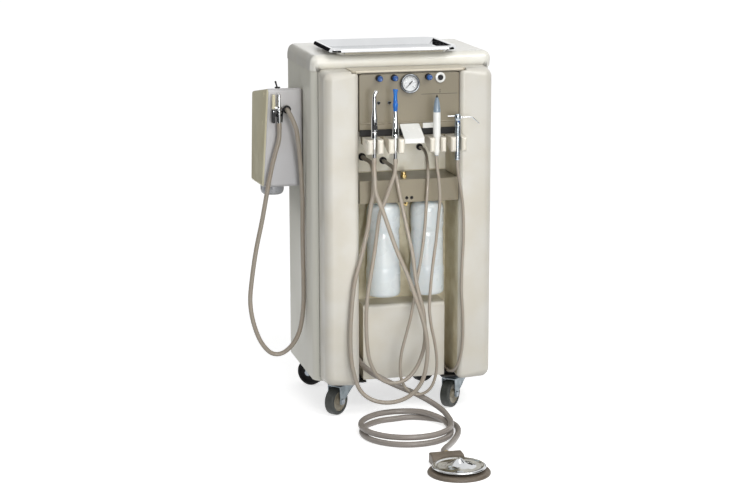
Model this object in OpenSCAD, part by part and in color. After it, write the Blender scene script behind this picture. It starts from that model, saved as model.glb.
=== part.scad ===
// Portable dental treatment unit: a cabinet on four swivel casters with a
// recessed instrument console, two water bottles, a side holster box, an
// instrument tray and a disc foot control on a long hose.
// Millimetres. Origin on the floor under the middle of the cabinet, the front
// faces -Y, +X is the right side seen from the front, +Z is up.

/* [Cabinet] */
// Overall width of the cabinet carcass
body_w = 476; // [470:2:490]
// Y of the rear face of the cabinet
body_back = 200; // [195:1:215]
// Y of the front face of the carcass, behind the two columns
carcass_front = -117; // [-119:1:-115]
// Height of the underside of the carcass above the floor
base_z = 92; // [92:1:93]
// Height of the joint between carcass and lid
cap_z = 914; // [913:1:915]
// Height of the top of the lid
top_z = 955; // [953:1:960]
// Sheet thickness of the carcass panels
wall = 3; // [2:0.5:4]
// Radius of the vertical front corners
corner_r = 28; // [24:1:32]

/* [Columns] */
// Half the clear width of the recess between the columns
col_in = 133; // [132:1:134]
// Outer edge of a column from the middle of the cabinet
col_out = 223; // [218:1:225]
// Y of the front face of the columns
col_front = -197; // [-198:1:-196]
// Height of the top of the columns
col_top = 920; // [919:1:921]
// Height of the underside of the columns
col_low = 94; // [93:1:98]

/* [Console] */
// Half the width of the console
console_half = 132; // [130:0.5:132]
// Y of the control panel face
panel_y = -192; // [-193:1:-191]
// Height of the panel's lower edge
panel_low = 764; // [763:1:766]
// Height of the panel's top edge
panel_top = 914; // [913:0.5:914]
// Height of the row of knobs
knob_z = 901.5; // [900:0.5:903]
// X of the three flow knobs
knob_x = [-81, -41, 49];
// Radius of a knob
knob_r = 7.3; // [6:0.1:8]
// Radius of the pressure gauge
gauge_r = 25.5; // [24:0.5:26]
// Height of the gauge centre
gauge_z = 886; // [885:0.5:887]

/* [Instruments] */
// X of the four holders from left to right
holder_x = [-105, -50, 59, 114];
// Half the slot width of each holder
holder_slot = [6.2, 5.8, 8.6, 7.3];
// Y of the axis of the hanging instruments
tool_y = -243; // [-244:1:-242]
// Height of the underside of the holders
fork_low = 715; // [713:1:716]
// Height of the top of the holders
fork_top = 753; // [752:0.5:753]

/* [Bottles] */
// X of the bottle axes from the middle
bottle_x = 59; // [57:1:61]
// Y of the bottle axes
bottle_y = -150; // [-152:1:-148]
// Radius of a bottle
bottle_r = 45; // [42:1:46]
// Height of the bottom of the bottles
bottle_low = 325; // [320:1:330]

/* [Tray] */
// Outer width of the instrument tray
tray_w = 340; // [320:1:350]
// Outer depth of the instrument tray
tray_d = 245; // [230:1:250]
// Height of the tray
tray_h = 19; // [16:1:22]

/* [Casters] */
// Wheel radius
wheel_r = 37.5; // [36:0.5:37.5]
// Distance of the wheel axle from the swivel axis
trail = 35; // [32:1:36]
// Centres of the swivel axes, x and y
caster_at = [[-155, -99], [155, -99], [-158, 158], [158, 158]];
// Direction in which each caster trails, degrees from -Y towards -X
caster_turn = [48, 42, 130, 62];

/* [Foot control] */
// Centre of the foot control, x and y
pedal_at = [-2, -681];
// Radius of the pressed disc
disc_r = 66; // [60:1:67]
// Radius of the base
pedal_r = 77; // [74:1:78]

/* [Hidden] */

hw = body_w / 2;
back = body_back;
liner_y = -62;
shelf_low = 577;
shelf_top = 637;
toggle_x = [-82, -53.5];
toggle_z = 838;
push_x = 81;
push_z = 899;
sh_x = -305;     // side handpiece axis
sh_y = -12;

// ---- helpers ---------------------------------------------------------
module rrect(w, d, r) {
  union() {
    square([w - 2 * r, d], center = true);
    square([w, d - 2 * r], center = true);
    for (x = [-1, 1], y = [-1, 1])
      translate([x * (w / 2 - r), y * (d / 2 - r)]) circle(r = r, $fn = 48);
  }
}
module ycyl(x, z, y0, y1, r, fn = 48) {
  translate([x, y0, z]) rotate([-90, 0, 0]) cylinder(r = r, h = y1 - y0, $fn = fn);
}
module xcyl(y, z, x0, x1, r, fn = 48) {
  translate([x0, y, z]) rotate([0, 90, 0]) cylinder(r = r, h = x1 - x0, $fn = fn);
}
// rod between two points
module rod(a, b, r, fn = 32) {
  d = b - a;
  l = norm(d);
  translate(a) rotate([0, acos(d[2] / l), atan2(d[1], d[0])]) cylinder(r = r, h = l, $fn = fn);
}

// ---- hose sweep ------------------------------------------------------
function unit(v) = v / norm(v);
function cr(P, i, t) =
  let (a = i == 0 ? 2 * P[0] - P[1] : P[i - 1], b = P[i], c = P[i + 1],
       d = i + 2 >= len(P) ? 2 * P[i + 1] - P[i] : P[i + 2])
  0.5 * ((2 * b) + (c - a) * t + (2 * a - 5 * b + 4 * c - d) * t * t
         + (3 * b - a - 3 * c + d) * t * t * t);
function line(P, step) = concat(
  [for (i = [0 : len(P) - 2])
    let (n = max(1, round(norm(P[i + 1] - P[i]) / step)))
    for (k = [0 : n - 1]) cr(P, i, k / n)], [P[len(P) - 1]]);
function tang(L, i) =
  unit(L[min(i + 1, len(L) - 1)] - L[max(i - 1, 0)]);
function normals(L, i = 0, prev = undef) =
  i >= len(L) ? [] :
  let (t = tang(L, i),
       s = i == 0 ? (abs(t[1]) > 0.9 ? [1, 0, 0] : [0, 1, 0]) : prev,
       n = unit(s - (s * t) * t))
  concat([n], normals(L, i + 1, n));
module hose(P, r, step, sides = 8) {
  L = line(P, step);
  N = normals(L);
  pts = [for (i = [0 : len(L) - 1]) let (t = tang(L, i), n = N[i], b = cross(t, n))
    for (k = [0 : sides - 1]) L[i] + r * (cos(360 * k / sides) * n + sin(360 * k / sides) * b)];
  m = len(L);
  faces = concat(
    [[for (k = [0 : sides - 1]) k]],
    [for (i = [0 : m - 2], k = [0 : sides - 1])
      let (k2 = (k + 1) % sides)
      [i * sides + k, (i + 1) * sides + k, (i + 1) * sides + k2, i * sides + k2]],
    [[for (k = [sides - 1 : -1 : 0]) (m - 1) * sides + k]]);
  polyhedron(points = pts, faces = faces, convexity = 10);
}

// ---- hose routes, from the tool or pedal end ------------------------------
// suction hose, 11 mm
r_suction = [[-105, -243, 693.8], [-105, -243, 677], [-104, -244.5, 652],
  [-102, -247, 616], [-82, -252, 560], [-51, -254, 470], [-19, -253, 395],
  [16, -251, 296], [33, -249, 225], [34, -248, 165], [20, -247, 108],
  [-13, -244, 71], [-60, -238, 56], [-108, -230, 64], [-141, -221, 94],
  [-158, -213, 155], [-162, -211, 224], [-159, -210, 292], [-150, -209, 374],
  [-132, -208, 441], [-115, -207, 510], [-106, -206.5, 570],
  [-100, -206.5, 602], [-98, -206, 634], [-97, -202, 654],
  [-96.5, -191, 670], [-96, -174, 679], [-96, -147, 681], [-96, -108, 680],
  [-96, -74.1, 680]];
// saliva ejector hose, 10 mm
r_ejector = [[-50, -243, 688.8], [-50, -243, 675], [-53, -241, 657],
  [-60, -238, 636], [-73, -231, 593], [-88, -228, 553], [-98, -226, 476],
  [-108, -225, 410], [-119, -225, 342], [-123, -225, 276], [-120, -225, 206],
  [-112, -226, 163], [-92, -227, 125], [-60, -228, 106], [-24, -227, 109],
  [3, -226, 130], [23, -224, 165], [34, -223, 205], [35, -222, 250],
  [30, -222, 297], [18, -222, 342], [10, -221, 382], [2, -217, 450],
  [-9, -212, 502], [-20, -206, 560], [-29, -204.5, 604], [-33, -203, 626],
  [-36, -196, 646], [-37.5, -182, 660], [-38.5, -160, 667], [-39, -120, 668],
  [-39, -74.1, 668]];
// scaler hose, 8 mm
r_scaler = [[59, -243, 705.8], [59, -243, 692], [61, -243, 670],
  [65, -242, 645], [69, -240, 593], [66, -238, 543], [60, -237, 480],
  [52, -236, 417], [45, -235, 338], [44, -235, 295], [50, -234, 250],
  [59, -233, 208], [65, -232, 160], [62, -231, 118], [48, -229, 84],
  [22, -225, 69], [-7, -221, 77], [-24, -216, 103], [-29, -213, 135],
  [-25, -211, 180], [-12, -210, 230], [2, -209, 283], [17, -208, 372],
  [28, -207, 430], [37, -206, 500], [42, -205, 562], [46, -203, 612],
  [48, -199, 636], [52, -182, 665], [58, -145, 690], [60, -108, 700],
  [60, -74.1, 700]];
// syringe hose, 8 mm
r_syringe = [[114, -243, 690.8], [114, -243, 677], [118, -238, 655],
  [126, -228, 622], [139, -212, 558], [142, -208, 483], [139, -207, 406],
  [138, -207, 336], [142, -206, 276], [143, -206, 220], [140, -205, 175],
  [134, -198, 142], [127, -180, 117], [122, -150, 107], [122, -110, 105],
  [122, -74.1, 105]];
// foot control hose, 15 mm: out of the cabinet, down to the floor, two
// turns and on into the foot control
t1c = [-43, -331];
t2c = [-45, -342];
r_foot = concat([[-121, -74.1, 149], [-121, -102, 149], [-121.5, -128, 146.5],
  [-117, -150, 139], [-103, -169, 127], [-82, -182, 113], [-50, -192, 96],
  [-18, -199, 81], [15, -208, 66], [43, -221, 51], [62, -241, 40],
  [73, -267, 32.5], [76, -300, 27.5]],
  [for (a = [-5 : -30 : -305])
    [t1c[0] + 117 * cos(a), t1c[1] + 117 * sin(a), 23.4]],
  [[t1c[0] + 116 * cos(-335), t1c[1] + 116 * sin(-335), 17.5],
   [t1c[0] + 116 * cos(-350), t1c[1] + 116 * sin(-350), 10.5],
   [t2c[0] + 115 * cos(-365), t2c[1] + 115 * sin(-365), 8]],
  [for (a = [-395 : -30 : -605])
    [t2c[0] + 115 * cos(a), t2c[1] + 115 * sin(a), 7.6]],
  [[-45, -226.5, 7.6], [-8, -221.5, 7.6], [28, -234, 7.6], [63, -261, 7.6],
   [87, -299, 7.6], [91, -340, 7.6], [80, -386, 7.6], [57, -436, 7.7],
   [32, -480, 9], [13, -512, 12], [-2, -543, 14], [-2, -567.9, 14]]);
// side handpiece hose, 12 mm
r_side = [[-305, -12, 752.8], [-305, -12, 738], [-308, -13, 718],
  [-316, -14, 692], [-326, -15, 655], [-337, -15, 603], [-354, -15, 513],
  [-372, -15, 430], [-385, -15, 345], [-389, -15, 290], [-381, -15, 235],
  [-362, -15, 183], [-334, -15, 150], [-303, -15, 148], [-273, -16, 174],
  [-255, -18, 215], [-246.5, -19, 275], [-245.5, -20, 346], [-247, -20, 455],
  [-247, -22, 562], [-252, -28, 650], [-259, -38, 712], [-265, -44, 750], [-270, -45.5, 766],
  [-275, -44, 779], [-279, -39, 789.5], [-282, -30, 797.5], [-283, -19, 802], [-283, -7.2, 803.2]];

// ---- carcass -----------------------------------------------------------
module side_panel() {          // left side panel, mirrored for the right one
  translate([0, 0, base_z]) linear_extrude(cap_z - base_z - 0.2) difference() {
    union() {
      translate([-hw, carcass_front + corner_r]) square([hw - 136.2, back - wall - 0.2 - carcass_front - corner_r]);
      translate([-hw + corner_r, carcass_front]) square([hw - corner_r - 136.2, corner_r + 1]);
      translate([-hw + corner_r, carcass_front + corner_r]) circle(r = corner_r, $fn = 64);
    }
    translate([-hw + wall, carcass_front + corner_r]) square([hw, 2 * back]);
    translate([-hw + corner_r, carcass_front + wall]) square([hw, corner_r + 1]);
    translate([-hw + corner_r, carcass_front + corner_r]) circle(r = corner_r - wall, $fn = 64);
  }
}
module side_left() { color("beige") side_panel(); }
module side_right() { color("beige") mirror([1, 0, 0]) side_panel(); }
module base_pan() {
  color("gray") union() {
    translate([0, 0, base_z]) linear_extrude(4) union() {
      translate([-hw + wall + 0.2, carcass_front + corner_r])
        square([body_w - 2 * wall - 0.4, back - wall - 0.4 - carcass_front - corner_r]);
      translate([-hw + corner_r, carcass_front + wall + 0.2]) square([body_w - 2 * corner_r, corner_r]);
      for (x = [-1, 1]) translate([x * (hw - corner_r), carcass_front + corner_r])
        circle(r = corner_r - wall - 0.2, $fn = 64);
    }
    for (x = [-150, 110]) translate([x, -40, base_z + 3]) cube([40, 225, 9]);
    translate([60, -40, base_z + 3]) cube([30, 90, 9]);
  }
}
module rear_panel() {
  color("beige") difference() {
    translate([-hw, back - wall, base_z]) cube([body_w, wall, cap_z - base_z - 0.2]);
    for (k = [0 : 9]) translate([-150, back - wall - 1, 560 + k * 16]) cube([300, wall + 2, 5]);
    for (k = [0 : 5]) translate([-150, back - wall - 1, 300 + k * 16]) cube([180, wall + 2, 5]);
    translate([150 - 14, back - wall - 1, 150 - 10.5]) cube([28, wall + 2, 21]);
  }
}
module cap() {
  cx = hw + 3;
  color("ivory") difference() {
    hull() for (x = [-1, 1], y = [carcass_front - 3, back + 3]) {
      translate([x * (cx - (y < 0 ? corner_r : 12)), y + (y < 0 ? corner_r : -12), cap_z])
        cylinder(r = y < 0 ? corner_r : 12, h = 14, $fn = 32);
      translate([x * (cx - 20), y + (y < 0 ? 20 : -20), top_z - 20]) sphere(r = 20, $fn = 32);
    }
    translate([-hw + 10, carcass_front + 12, cap_z - 1]) cube([body_w - 20, back - carcass_front - 24, 34]);
  }
}

// ---- columns -------------------------------------------------------------
module column() {              // right column, mirrored for the left one
  difference() {
    hull() {
      for (x = [col_in + 14, col_out - 14], z = [col_low + 14, col_top - 14])
        translate([x, carcass_front - 0.1, z]) rotate([90, 0, 0]) cylinder(r = 14, h = 20, $fn = 32);
      for (z = [col_low + 14, col_top - 14])
        translate([col_in + 14, col_front + 14, z]) sphere(r = 14, $fn = 32);
      for (z = [col_low + 24, col_top - 24])
        translate([col_out - 24, col_front + 24, z]) sphere(r = 24, $fn = 32);
    }
    translate([col_in + 5, col_front + 16, col_low + 18])
      cube([col_out - col_in - 10, carcass_front - col_front, col_top - col_low - 40]);
    // seat of the console's top cover
    translate([col_in - 5, col_front - 1, panel_top + 0.6]) cube([24, 100, 20]);
    translate([col_in + 12, col_front + 12, panel_top + 0.6]) cube([9, 100, 20]);
    // clearance under the lid
    translate([col_in - 5, carcass_front - 3.3, cap_z - 0.2]) cube([col_out - col_in + 10, 10, 20]);
  }
}
module column_right() { color("ivory") column(); }
module column_left() { color("ivory") mirror([1, 0, 0]) column(); }

// ---- recess ----------------------------------------------------------------
module recess_liner() {
  color("darkkhaki") translate([0, 0, base_z + 4.1]) linear_extrude(cap_z - base_z - 4.5) difference() {
    translate([-136, carcass_front]) square([272, liner_y + 4 - carcass_front]);
    translate([-133, carcass_front - 1]) square([266, liner_y - carcass_front + 1]);
  }
}
module lower_panel() {
  color("ivory") difference() {
    translate([-111, 0, 0]) rotate([90, 0, 90]) linear_extrude(222) union() {
      translate([-140, 94]) square([78, 192]);
      translate([-130, 94]) square([68, 202]);
      translate([-130, 286]) circle(r = 10, $fn = 48);
    }
    translate([-108, -137, 97]) cube([216, 80, 189]);
    translate([-108, -130, 285]) cube([216, 73, 8]);
    translate([-120, carcass_front + wall - 0.2, 90]) cube([240, 70, 6.2]);
  }
}
module bottle_shelf() {
  color("tan") difference() {
    union() {
      difference() {
        translate([-console_half, panel_y, shelf_low]) cube([2 * console_half, liner_y - panel_y, shelf_top - shelf_low]);
        translate([-console_half + 3, panel_y + 3, shelf_low + 3])
          cube([2 * console_half - 6, liner_y - panel_y, shelf_top - shelf_low - 6]);
      }
      for (x = [-1, 1]) translate([x * bottle_x, bottle_y, 608]) cylinder(r = 20, h = 30, $fn = 48);
      for (x = [-1, 1]) ycyl(x * 6.5, 588.7, panel_y + 1, panel_y + 14, 5.5);
    }
    for (x = [-1, 1]) translate([x * bottle_x, bottle_y, shelf_low - 1]) cylinder(r = 14.6, h = 10, $fn = 48);
    for (x = [-1, 1]) ycyl(x * 6.5, 588.7, panel_y - 1, panel_y + 11, 3.05);
  }
}
module bottle(x) {
  r = bottle_r;
  z = bottle_low;
  color("azure") translate([x, bottle_y, z]) rotate_extrude($fn = 64) polygon([
    [0, 0], [r - 8, 0], [r - 2.5, 3], [r, 10], [r, 70], [r - 1.5, 76], [r - 1.5, 165], [r - 3, 170],
    [r - 3, 174], [r - 1, 180], [r - 1, 226], [r - 3, 236], [r - 9, 245], [r - 20, 250], [14, 251], [14, 281],
    [11.5, 281], [11.5, 249], [r - 21, 247.6], [r - 11, 242.8], [r - 5.3, 234.5], [r - 3.5, 225], [r - 3.5, 181], [r - 5.5, 175],
    [r - 5.5, 169], [r - 4, 164], [r - 4, 77], [r - 2.5, 70], [r - 2.5, 11], [r - 4.5, 5.5],
    [r - 9, 3], [0, 3]]);
}
module bottle_left() { bottle(-bottle_x); }
module bottle_right() { bottle(bottle_x); }

// ---- console -----------------------------------------------------------------
module control_panel() {
  color("rosybrown") {
    difference() {
      union() {
        difference() {
          translate([-console_half, panel_y, panel_low]) cube([2 * console_half, liner_y - 0.2 - panel_y, panel_top - 3 - panel_low]);
          translate([-console_half + 3, panel_y + 4, panel_low + 3])
            cube([2 * console_half - 6, liner_y - panel_y, panel_top - panel_low - 9]);
        }
        translate([-console_half, panel_y, panel_top - 4]) cube([2 * console_half, carcass_front - 4.5 - panel_y, 4]);
        // raised lower band
        translate([-console_half, panel_y - 2.5, panel_low + 4]) cube([2 * console_half, 5, 17]);
        xcyl(panel_y + 0.5, panel_low + 4, -console_half, console_half, 3);
        xcyl(panel_y + 0.5, panel_low + 21, -console_half, console_half, 3);
        // top cover above the groove
        translate([-126, panel_y + 3, panel_top - 1]) cube([252, carcass_front - 4.5 - panel_y - 3, 3]);
        translate([0, 0, panel_top + 1]) linear_extrude(7) difference() {
          translate([-151, panel_y]) square([302, carcass_front - 4.5 - panel_y]);
          for (x = [-151, 151]) translate([x, panel_y]) rotate([0, 0, 45]) square([14, 14], center = true);
        }
        xcyl(panel_y, panel_top + 4.5, -140, 140, 3.5);
      }
      for (x = knob_x) ycyl(x, knob_z, panel_y - 1, panel_y + 6, 3.3);
      ycyl(0, gauge_z, panel_y - 1, panel_y + 6, gauge_r - 4);
      ycyl(push_x, push_z, panel_y - 1, panel_y + 6, 7.2);
      for (x = toggle_x) ycyl(x, toggle_z, panel_y - 1, panel_y + 6, 3.4);
    }
    // bar that carries the holders
    translate([-127, -200, 733]) cube([254, 14, 20]);
    for (x = [-90, 78]) translate([x, -187, 735]) cube([12, liner_y - 0.2 + 187, 16]);
  }
}
module gauge_case() {
  color("silver") difference() {
    union() {
      ycyl(0, gauge_z, panel_y - 12, panel_y - 0.05, gauge_r, 64);
      ycyl(0, gauge_z, panel_y - 1, panel_y + 26, gauge_r - 4.5, 64);
      ycyl(0, gauge_z, panel_y + 25, panel_y + 40, 6);
    }
    ycyl(0, gauge_z, panel_y - 13, panel_y - 5, gauge_r - 3, 64);
    ycyl(0, gauge_z, panel_y - 6, panel_y - 0.5, 1.55);
  }
}
module gauge_needle() {
  color("black") translate([0, panel_y - 7, gauge_z]) union() {
    rotate([-90, 0, 0]) translate([0, 0, -1]) cylinder(r = 1.5, h = 6, $fn = 32);
    rotate([0, -48, 0]) translate([-19, -1, -0.7]) cube([26, 1.2, 1.4]);
    rotate([-90, 0, 0]) translate([0, 0, -1.2]) cylinder(r = 2.6, h = 1.6, $fn = 32);
  }
}
module panel_bushings() {
  color("black") {
    for (x = knob_x) difference() {
      ycyl(x, knob_z, panel_y - 6, panel_y - 0.05, 8.6);
      ycyl(x, knob_z, panel_y - 7, panel_y + 1, 3.06);
    }
    difference() {
      ycyl(push_x, push_z, panel_y - 6, panel_y - 0.05, 12.8);
      ycyl(push_x, push_z, panel_y - 7, panel_y + 1, 6.56);
    }
    for (x = toggle_x) difference() {
      ycyl(x, toggle_z, panel_y - 5, panel_y - 0.05, 4.4, 32);
      ycyl(x, toggle_z, panel_y - 6, panel_y + 1, 2.7, 32);
    }
    // nut of the toggle switch on the side box
    difference() {
      translate([-302, 22, 850]) cylinder(r = 6, h = 7, $fn = 32);
      translate([-302, 22, 852.6]) cylinder(r = 2.7, h = 6, $fn = 32);
    }
  }
}
module push_button() { color("dimgray") ycyl(push_x, push_z, panel_y - 9.5, panel_y + 8, 6.5); }
module knob(x) {
  color("royalblue") union() {
    ycyl(x, knob_z, panel_y - 21, panel_y - 6.4, knob_r);
    ycyl(x, knob_z, panel_y - 7, panel_y + 14, 3);
  }
}
module knob_left() { knob(knob_x[0]); }
module knob_centre() { knob(knob_x[1]); }
module knob_right() { knob(knob_x[2]); }
module toggle(x) {
  color("silver") translate([x, panel_y - 2.6, toggle_z]) rotate([78, 0, 0]) union() {
    sphere(r = 2.4, $fn = 32);
    rotate([0, 90, 0]) cylinder(r = 1, h = 4.84, center = true, $fn = 32);
    cylinder(r1 = 1.1, r2 = 1.6, h = 12, $fn = 32);
    translate([0, 0, 12]) sphere(r = 1.6, $fn = 32);
  }
}
module toggle_left() { toggle(toggle_x[0]); }
module toggle_right() { toggle(toggle_x[1]); }

// ---- holders -------------------------------------------------------------------
module fork(x, s) {
  w = 21;
  lw = w - s;
  difference() {
    intersection() {
      translate([x, 0, fork_low - 1]) linear_extrude(fork_top - fork_low + 2) difference() {
        union() {
          translate([-w, -262 + lw / 2]) square([2 * w, 61.8 - lw / 2]);
          for (k = [-1, 1]) translate([k * (w - lw / 2), -262 + lw / 2]) circle(r = lw / 2, $fn = 48);
        }
        translate([0, tool_y]) circle(r = s, $fn = 48);
        translate([-s, -300]) square([2 * s, 300 + tool_y]);
      }
      translate([x - 30, 0, 0]) rotate([90, 0, 90]) linear_extrude(60) union() {
        polygon([[-262, fork_low + 5], [-257, fork_low], [-252, fork_low], [-200.2, fork_low + 20],
          [-200.2, fork_top], [-256, fork_top], [-262, fork_top - 5]]);
      }
    }
    translate([x - w - 2, -212, fork_low - 2]) cube([6, 20, 16]);
    translate([x + w - 4, -212, fork_low - 2]) cube([6, 20, 16]);
  }
}
module holders() {
  color("linen") {
    for (i = [0 : 3]) fork(holder_x[i], holder_slot[i]);
    // sloped shelf between the second and third holder
    translate([-2, 0, 0]) union() {
      translate([0, -252, 750]) rotate([28.6, 0, 0]) linear_extrude(3)
        polygon([[-26.5, 0], [26.5, 0], [26, 63], [-25, 63]]);
      translate([-25.7, -254.6, 740]) cube([51.4, 3, 12.6]);
      translate([-8, -253, 741]) cube([16, 52.8, 3]);
    }
  }
}

// ---- hanging instruments ---------------------------------------------------------
module suction_handpiece() {
  x = holder_x[0];
  color("silver") difference() {
    union() {
      translate([x, tool_y, 694]) cylinder(r = 5.4, h = 60, $fn = 48);
      translate([x, tool_y, 753.4]) cylinder(r = 8.1, h = 59.2, $fn = 48);
      translate([x, tool_y, 812.4]) rotate_extrude($fn = 48) polygon([[0, 0], [8.1, 0], [5, 14], [4.8, 48], [0, 48]]);
      translate([x, tool_y, 860.3]) sphere(r = 4.8, $fn = 32);
      rod([x, tool_y, 860.3], [x + 6, tool_y, 876], 4.7);
    }
    rod([x + 2.4, tool_y, 866], [x + 6.8, tool_y, 878], 3.4);
    ycyl(x, 784, tool_y - 9, tool_y - 3, 2.05, 32);
  }
}
module suction_valve() {
  x = holder_x[0];
  color("dimgray") union() {
    ycyl(x, 784, tool_y - 13, tool_y - 8.4, 6, 32);
    translate([x - 2, tool_y - 13, 784]) cube([4, 3, 13]);
    ycyl(x, 784, tool_y - 9, tool_y - 3.5, 2, 32);
  }
}
module ejector_handpiece() {
  x = holder_x[1];
  color("steelblue") difference() {
    union() {
      translate([x, tool_y, 689]) cylinder(r = 5, h = 65, $fn = 48);
      translate([x, tool_y, 748.4]) rotate_extrude($fn = 48) polygon([[0, 5], [9.6, 5], [10, 10],
        [9.6, 17], [5.2, 74], [5.6, 80], [6.4, 88], [6.4, 94], [4.8, 100], [4.6, 118], [6.6, 128], [6.6, 130],
        [3.4, 130], [3.4, 104], [0, 104]]);
    }
    ycyl(x, 769, tool_y - 11, tool_y - 4, 2.05, 32);
  }
}
module ejector_valve() {
  x = holder_x[1];
  color("dimgray") union() {
    ycyl(x, 769, tool_y - 13.6, tool_y - 10.2, 5, 32);
    translate([x - 1.8, tool_y - 13.6, 769]) cube([3.6, 2.4, 11]);
    ycyl(x, 769, tool_y - 10.5, tool_y - 4.5, 2, 32);
  }
}
module scaler_handpiece() {
  x = holder_x[2];
  color("whitesmoke") union() {
    translate([x, tool_y, 701]) rotate_extrude($fn = 48) polygon([[0, 5], [5.5, 5], [8.2, 16], [8.2, 52.4],
      [9.4, 52.4], [9.6, 70], [9.3, 115], [8.4, 130], [6, 145], [3.4, 153], [1.8, 155], [1.2, 160], [0, 160]]);
  }
}
module syringe_handpiece() {
  x = holder_x[3];
  color("silver") difference() {
    union() {
      translate([x, tool_y, 691]) cylinder(r = 6.6, h = 63, $fn = 48);
      translate([x, tool_y, 748.4]) rotate_extrude($fn = 48) polygon([[0, 5], [7.9, 5], [7.9, 40], [7.2, 44], [8.4, 50], [8.4, 58], [6, 62], [0, 62]]);
      xcyl(tool_y, 801, x, x + 14, 3.4, 32);
      rod([x + 12, tool_y, 801], [x + 38, tool_y, 801.4], 1.7);
      translate([x + 38, tool_y, 801.4]) sphere(r = 1.7, $fn = 32);
      rod([x + 38, tool_y, 801.4], [x + 57, tool_y, 783.5], 1.6);
      xcyl(tool_y, 805, x - 26, x, 1.6, 32);
    }
    ycyl(x, 791, tool_y - 9, tool_y - 2, 2.56, 32);
    ycyl(x, 782, tool_y - 9, tool_y - 2, 2.56, 32);
  }
}
module syringe_air_button() { color("steelblue") ycyl(holder_x[3], 791, tool_y - 10.6, tool_y - 4.4, 2.5, 32); }
module syringe_water_button() { color("gray") ycyl(holder_x[3], 782, tool_y - 10.6, tool_y - 4.4, 2.5, 32); }

// ---- side box and its handpiece -------------------------------------------------------
module side_box() {
  color("gainsboro") difference() {
    union() {
      hull() for (p = [[-326, 11, 849], [-247, 11, 849], [-341, 11, 604], [-247, 11, 604],
                       [-331, 191, 821], [-247, 191, 821], [-336, 191, 592], [-247, 191, 592]])
        translate(p) sphere(r = 8, $fn = 24);
      // drain cup under the box
      translate([-315, 44, 572]) rotate_extrude($fn = 48) polygon([[0, 0], [24, 0], [29, 4], [31, 12], [31, 30], [0, 30]]);
    }
    translate([-325, 22, 608]) cube([88, 164, 200]);
    translate([-302, 22, 840]) cylinder(r = 6.1, h = 30, $fn = 32);
  }
}
module holster_clip() {
  color("black") difference() {
    union() {
      translate([sh_x, sh_y, 786]) cylinder(r = 8.4, h = 7, $fn = 48);
      translate([sh_x - 3, sh_y + 5, 786]) cube([6, 9.9, 7]);
      // hose hook beside the clip
      rod([-296, -3, 769], [-293, -3, 806], 1.8);
      ycyl(-294, 797, -4, 2.9, 2.2, 32);
    }
    translate([sh_x, sh_y, 780]) cylinder(r = 6.1, h = 20, $fn = 48);
    translate([sh_x - 6.1, sh_y - 15, 780]) cube([12.2, 15, 20]);
  }
}
module side_handpiece() {
  x = sh_x;
  y = sh_y;
  color("silver") union() {
    translate([x, y, 753]) rotate_extrude($fn = 48) polygon([[0, 0], [5, 0], [5.2, 12], [5.8, 22], [5.8, 40.4],
      [6.6, 40.6], [6.6, 48], [5.6, 50], [0, 50]]);
    translate([x, y, 809]) sphere(r = 7, $fn = 32);
    translate([x, y, 812]) cylinder(r = 4.2, h = 33, $fn = 32);
    // second nozzle on a short arm
    translate([x - 16, y - 4, 806]) cube([16, 8, 6]);
    translate([x - 14, y, 806]) rotate_extrude($fn = 32) polygon([[0, 0], [5.2, 0], [5.2, 6], [4.6, 8], [4.2, 38], [0, 38]]);
    // hinge ear and pin of the lever
    translate([x - 17, y + 6.4, 797]) cube([5, 2, 10]);
    translate([x - 17, y + 3, 805]) cube([5, 5.4, 3]);
    ycyl(x - 15, 800, y - 6, y + 7, 1.5, 24);
  }
}
module side_handpiece_lever() {
  x = sh_x - 15;
  y = sh_y;
  color("black") difference() {
    union() {
      translate([x - 4, y - 5, 773]) cube([8, 10, 27]);
      ycyl(x, 800, y - 5, y + 5, 4, 32);
      ycyl(x, 773, y - 5, y + 5, 4, 32);
    }
    ycyl(x, 800, y - 7, y + 7, 1.56, 32);
  }
}
module side_box_switch() {
  color("black") translate([-302, 22, 855.4]) rotate([0, -16, 0]) union() {
    sphere(r = 2.4, $fn = 32);
    rotate([90, 0, 0]) cylinder(r = 1, h = 4.84, center = true, $fn = 32);
    cylinder(r1 = 1.1, r2 = 1.7, h = 19, $fn = 32);
    translate([0, 0, 19]) sphere(r = 1.7, $fn = 32);
  }
}

// ---- tray ------------------------------------------------------------------------------
module tray() {
  color("lightgray") translate([-26, -30, top_z]) difference() {
    union() {
      translate([0, 0, 0.05]) linear_extrude(tray_h - 0.05) rrect(tray_w - 24, tray_d - 24, 24);
      translate([0, 0, tray_h - 3]) linear_extrude(3) rrect(tray_w, tray_d, 34);
    }
    translate([0, 0, 1.6]) linear_extrude(tray_h) rrect(tray_w - 28, tray_d - 28, 22);
  }
}

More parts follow.
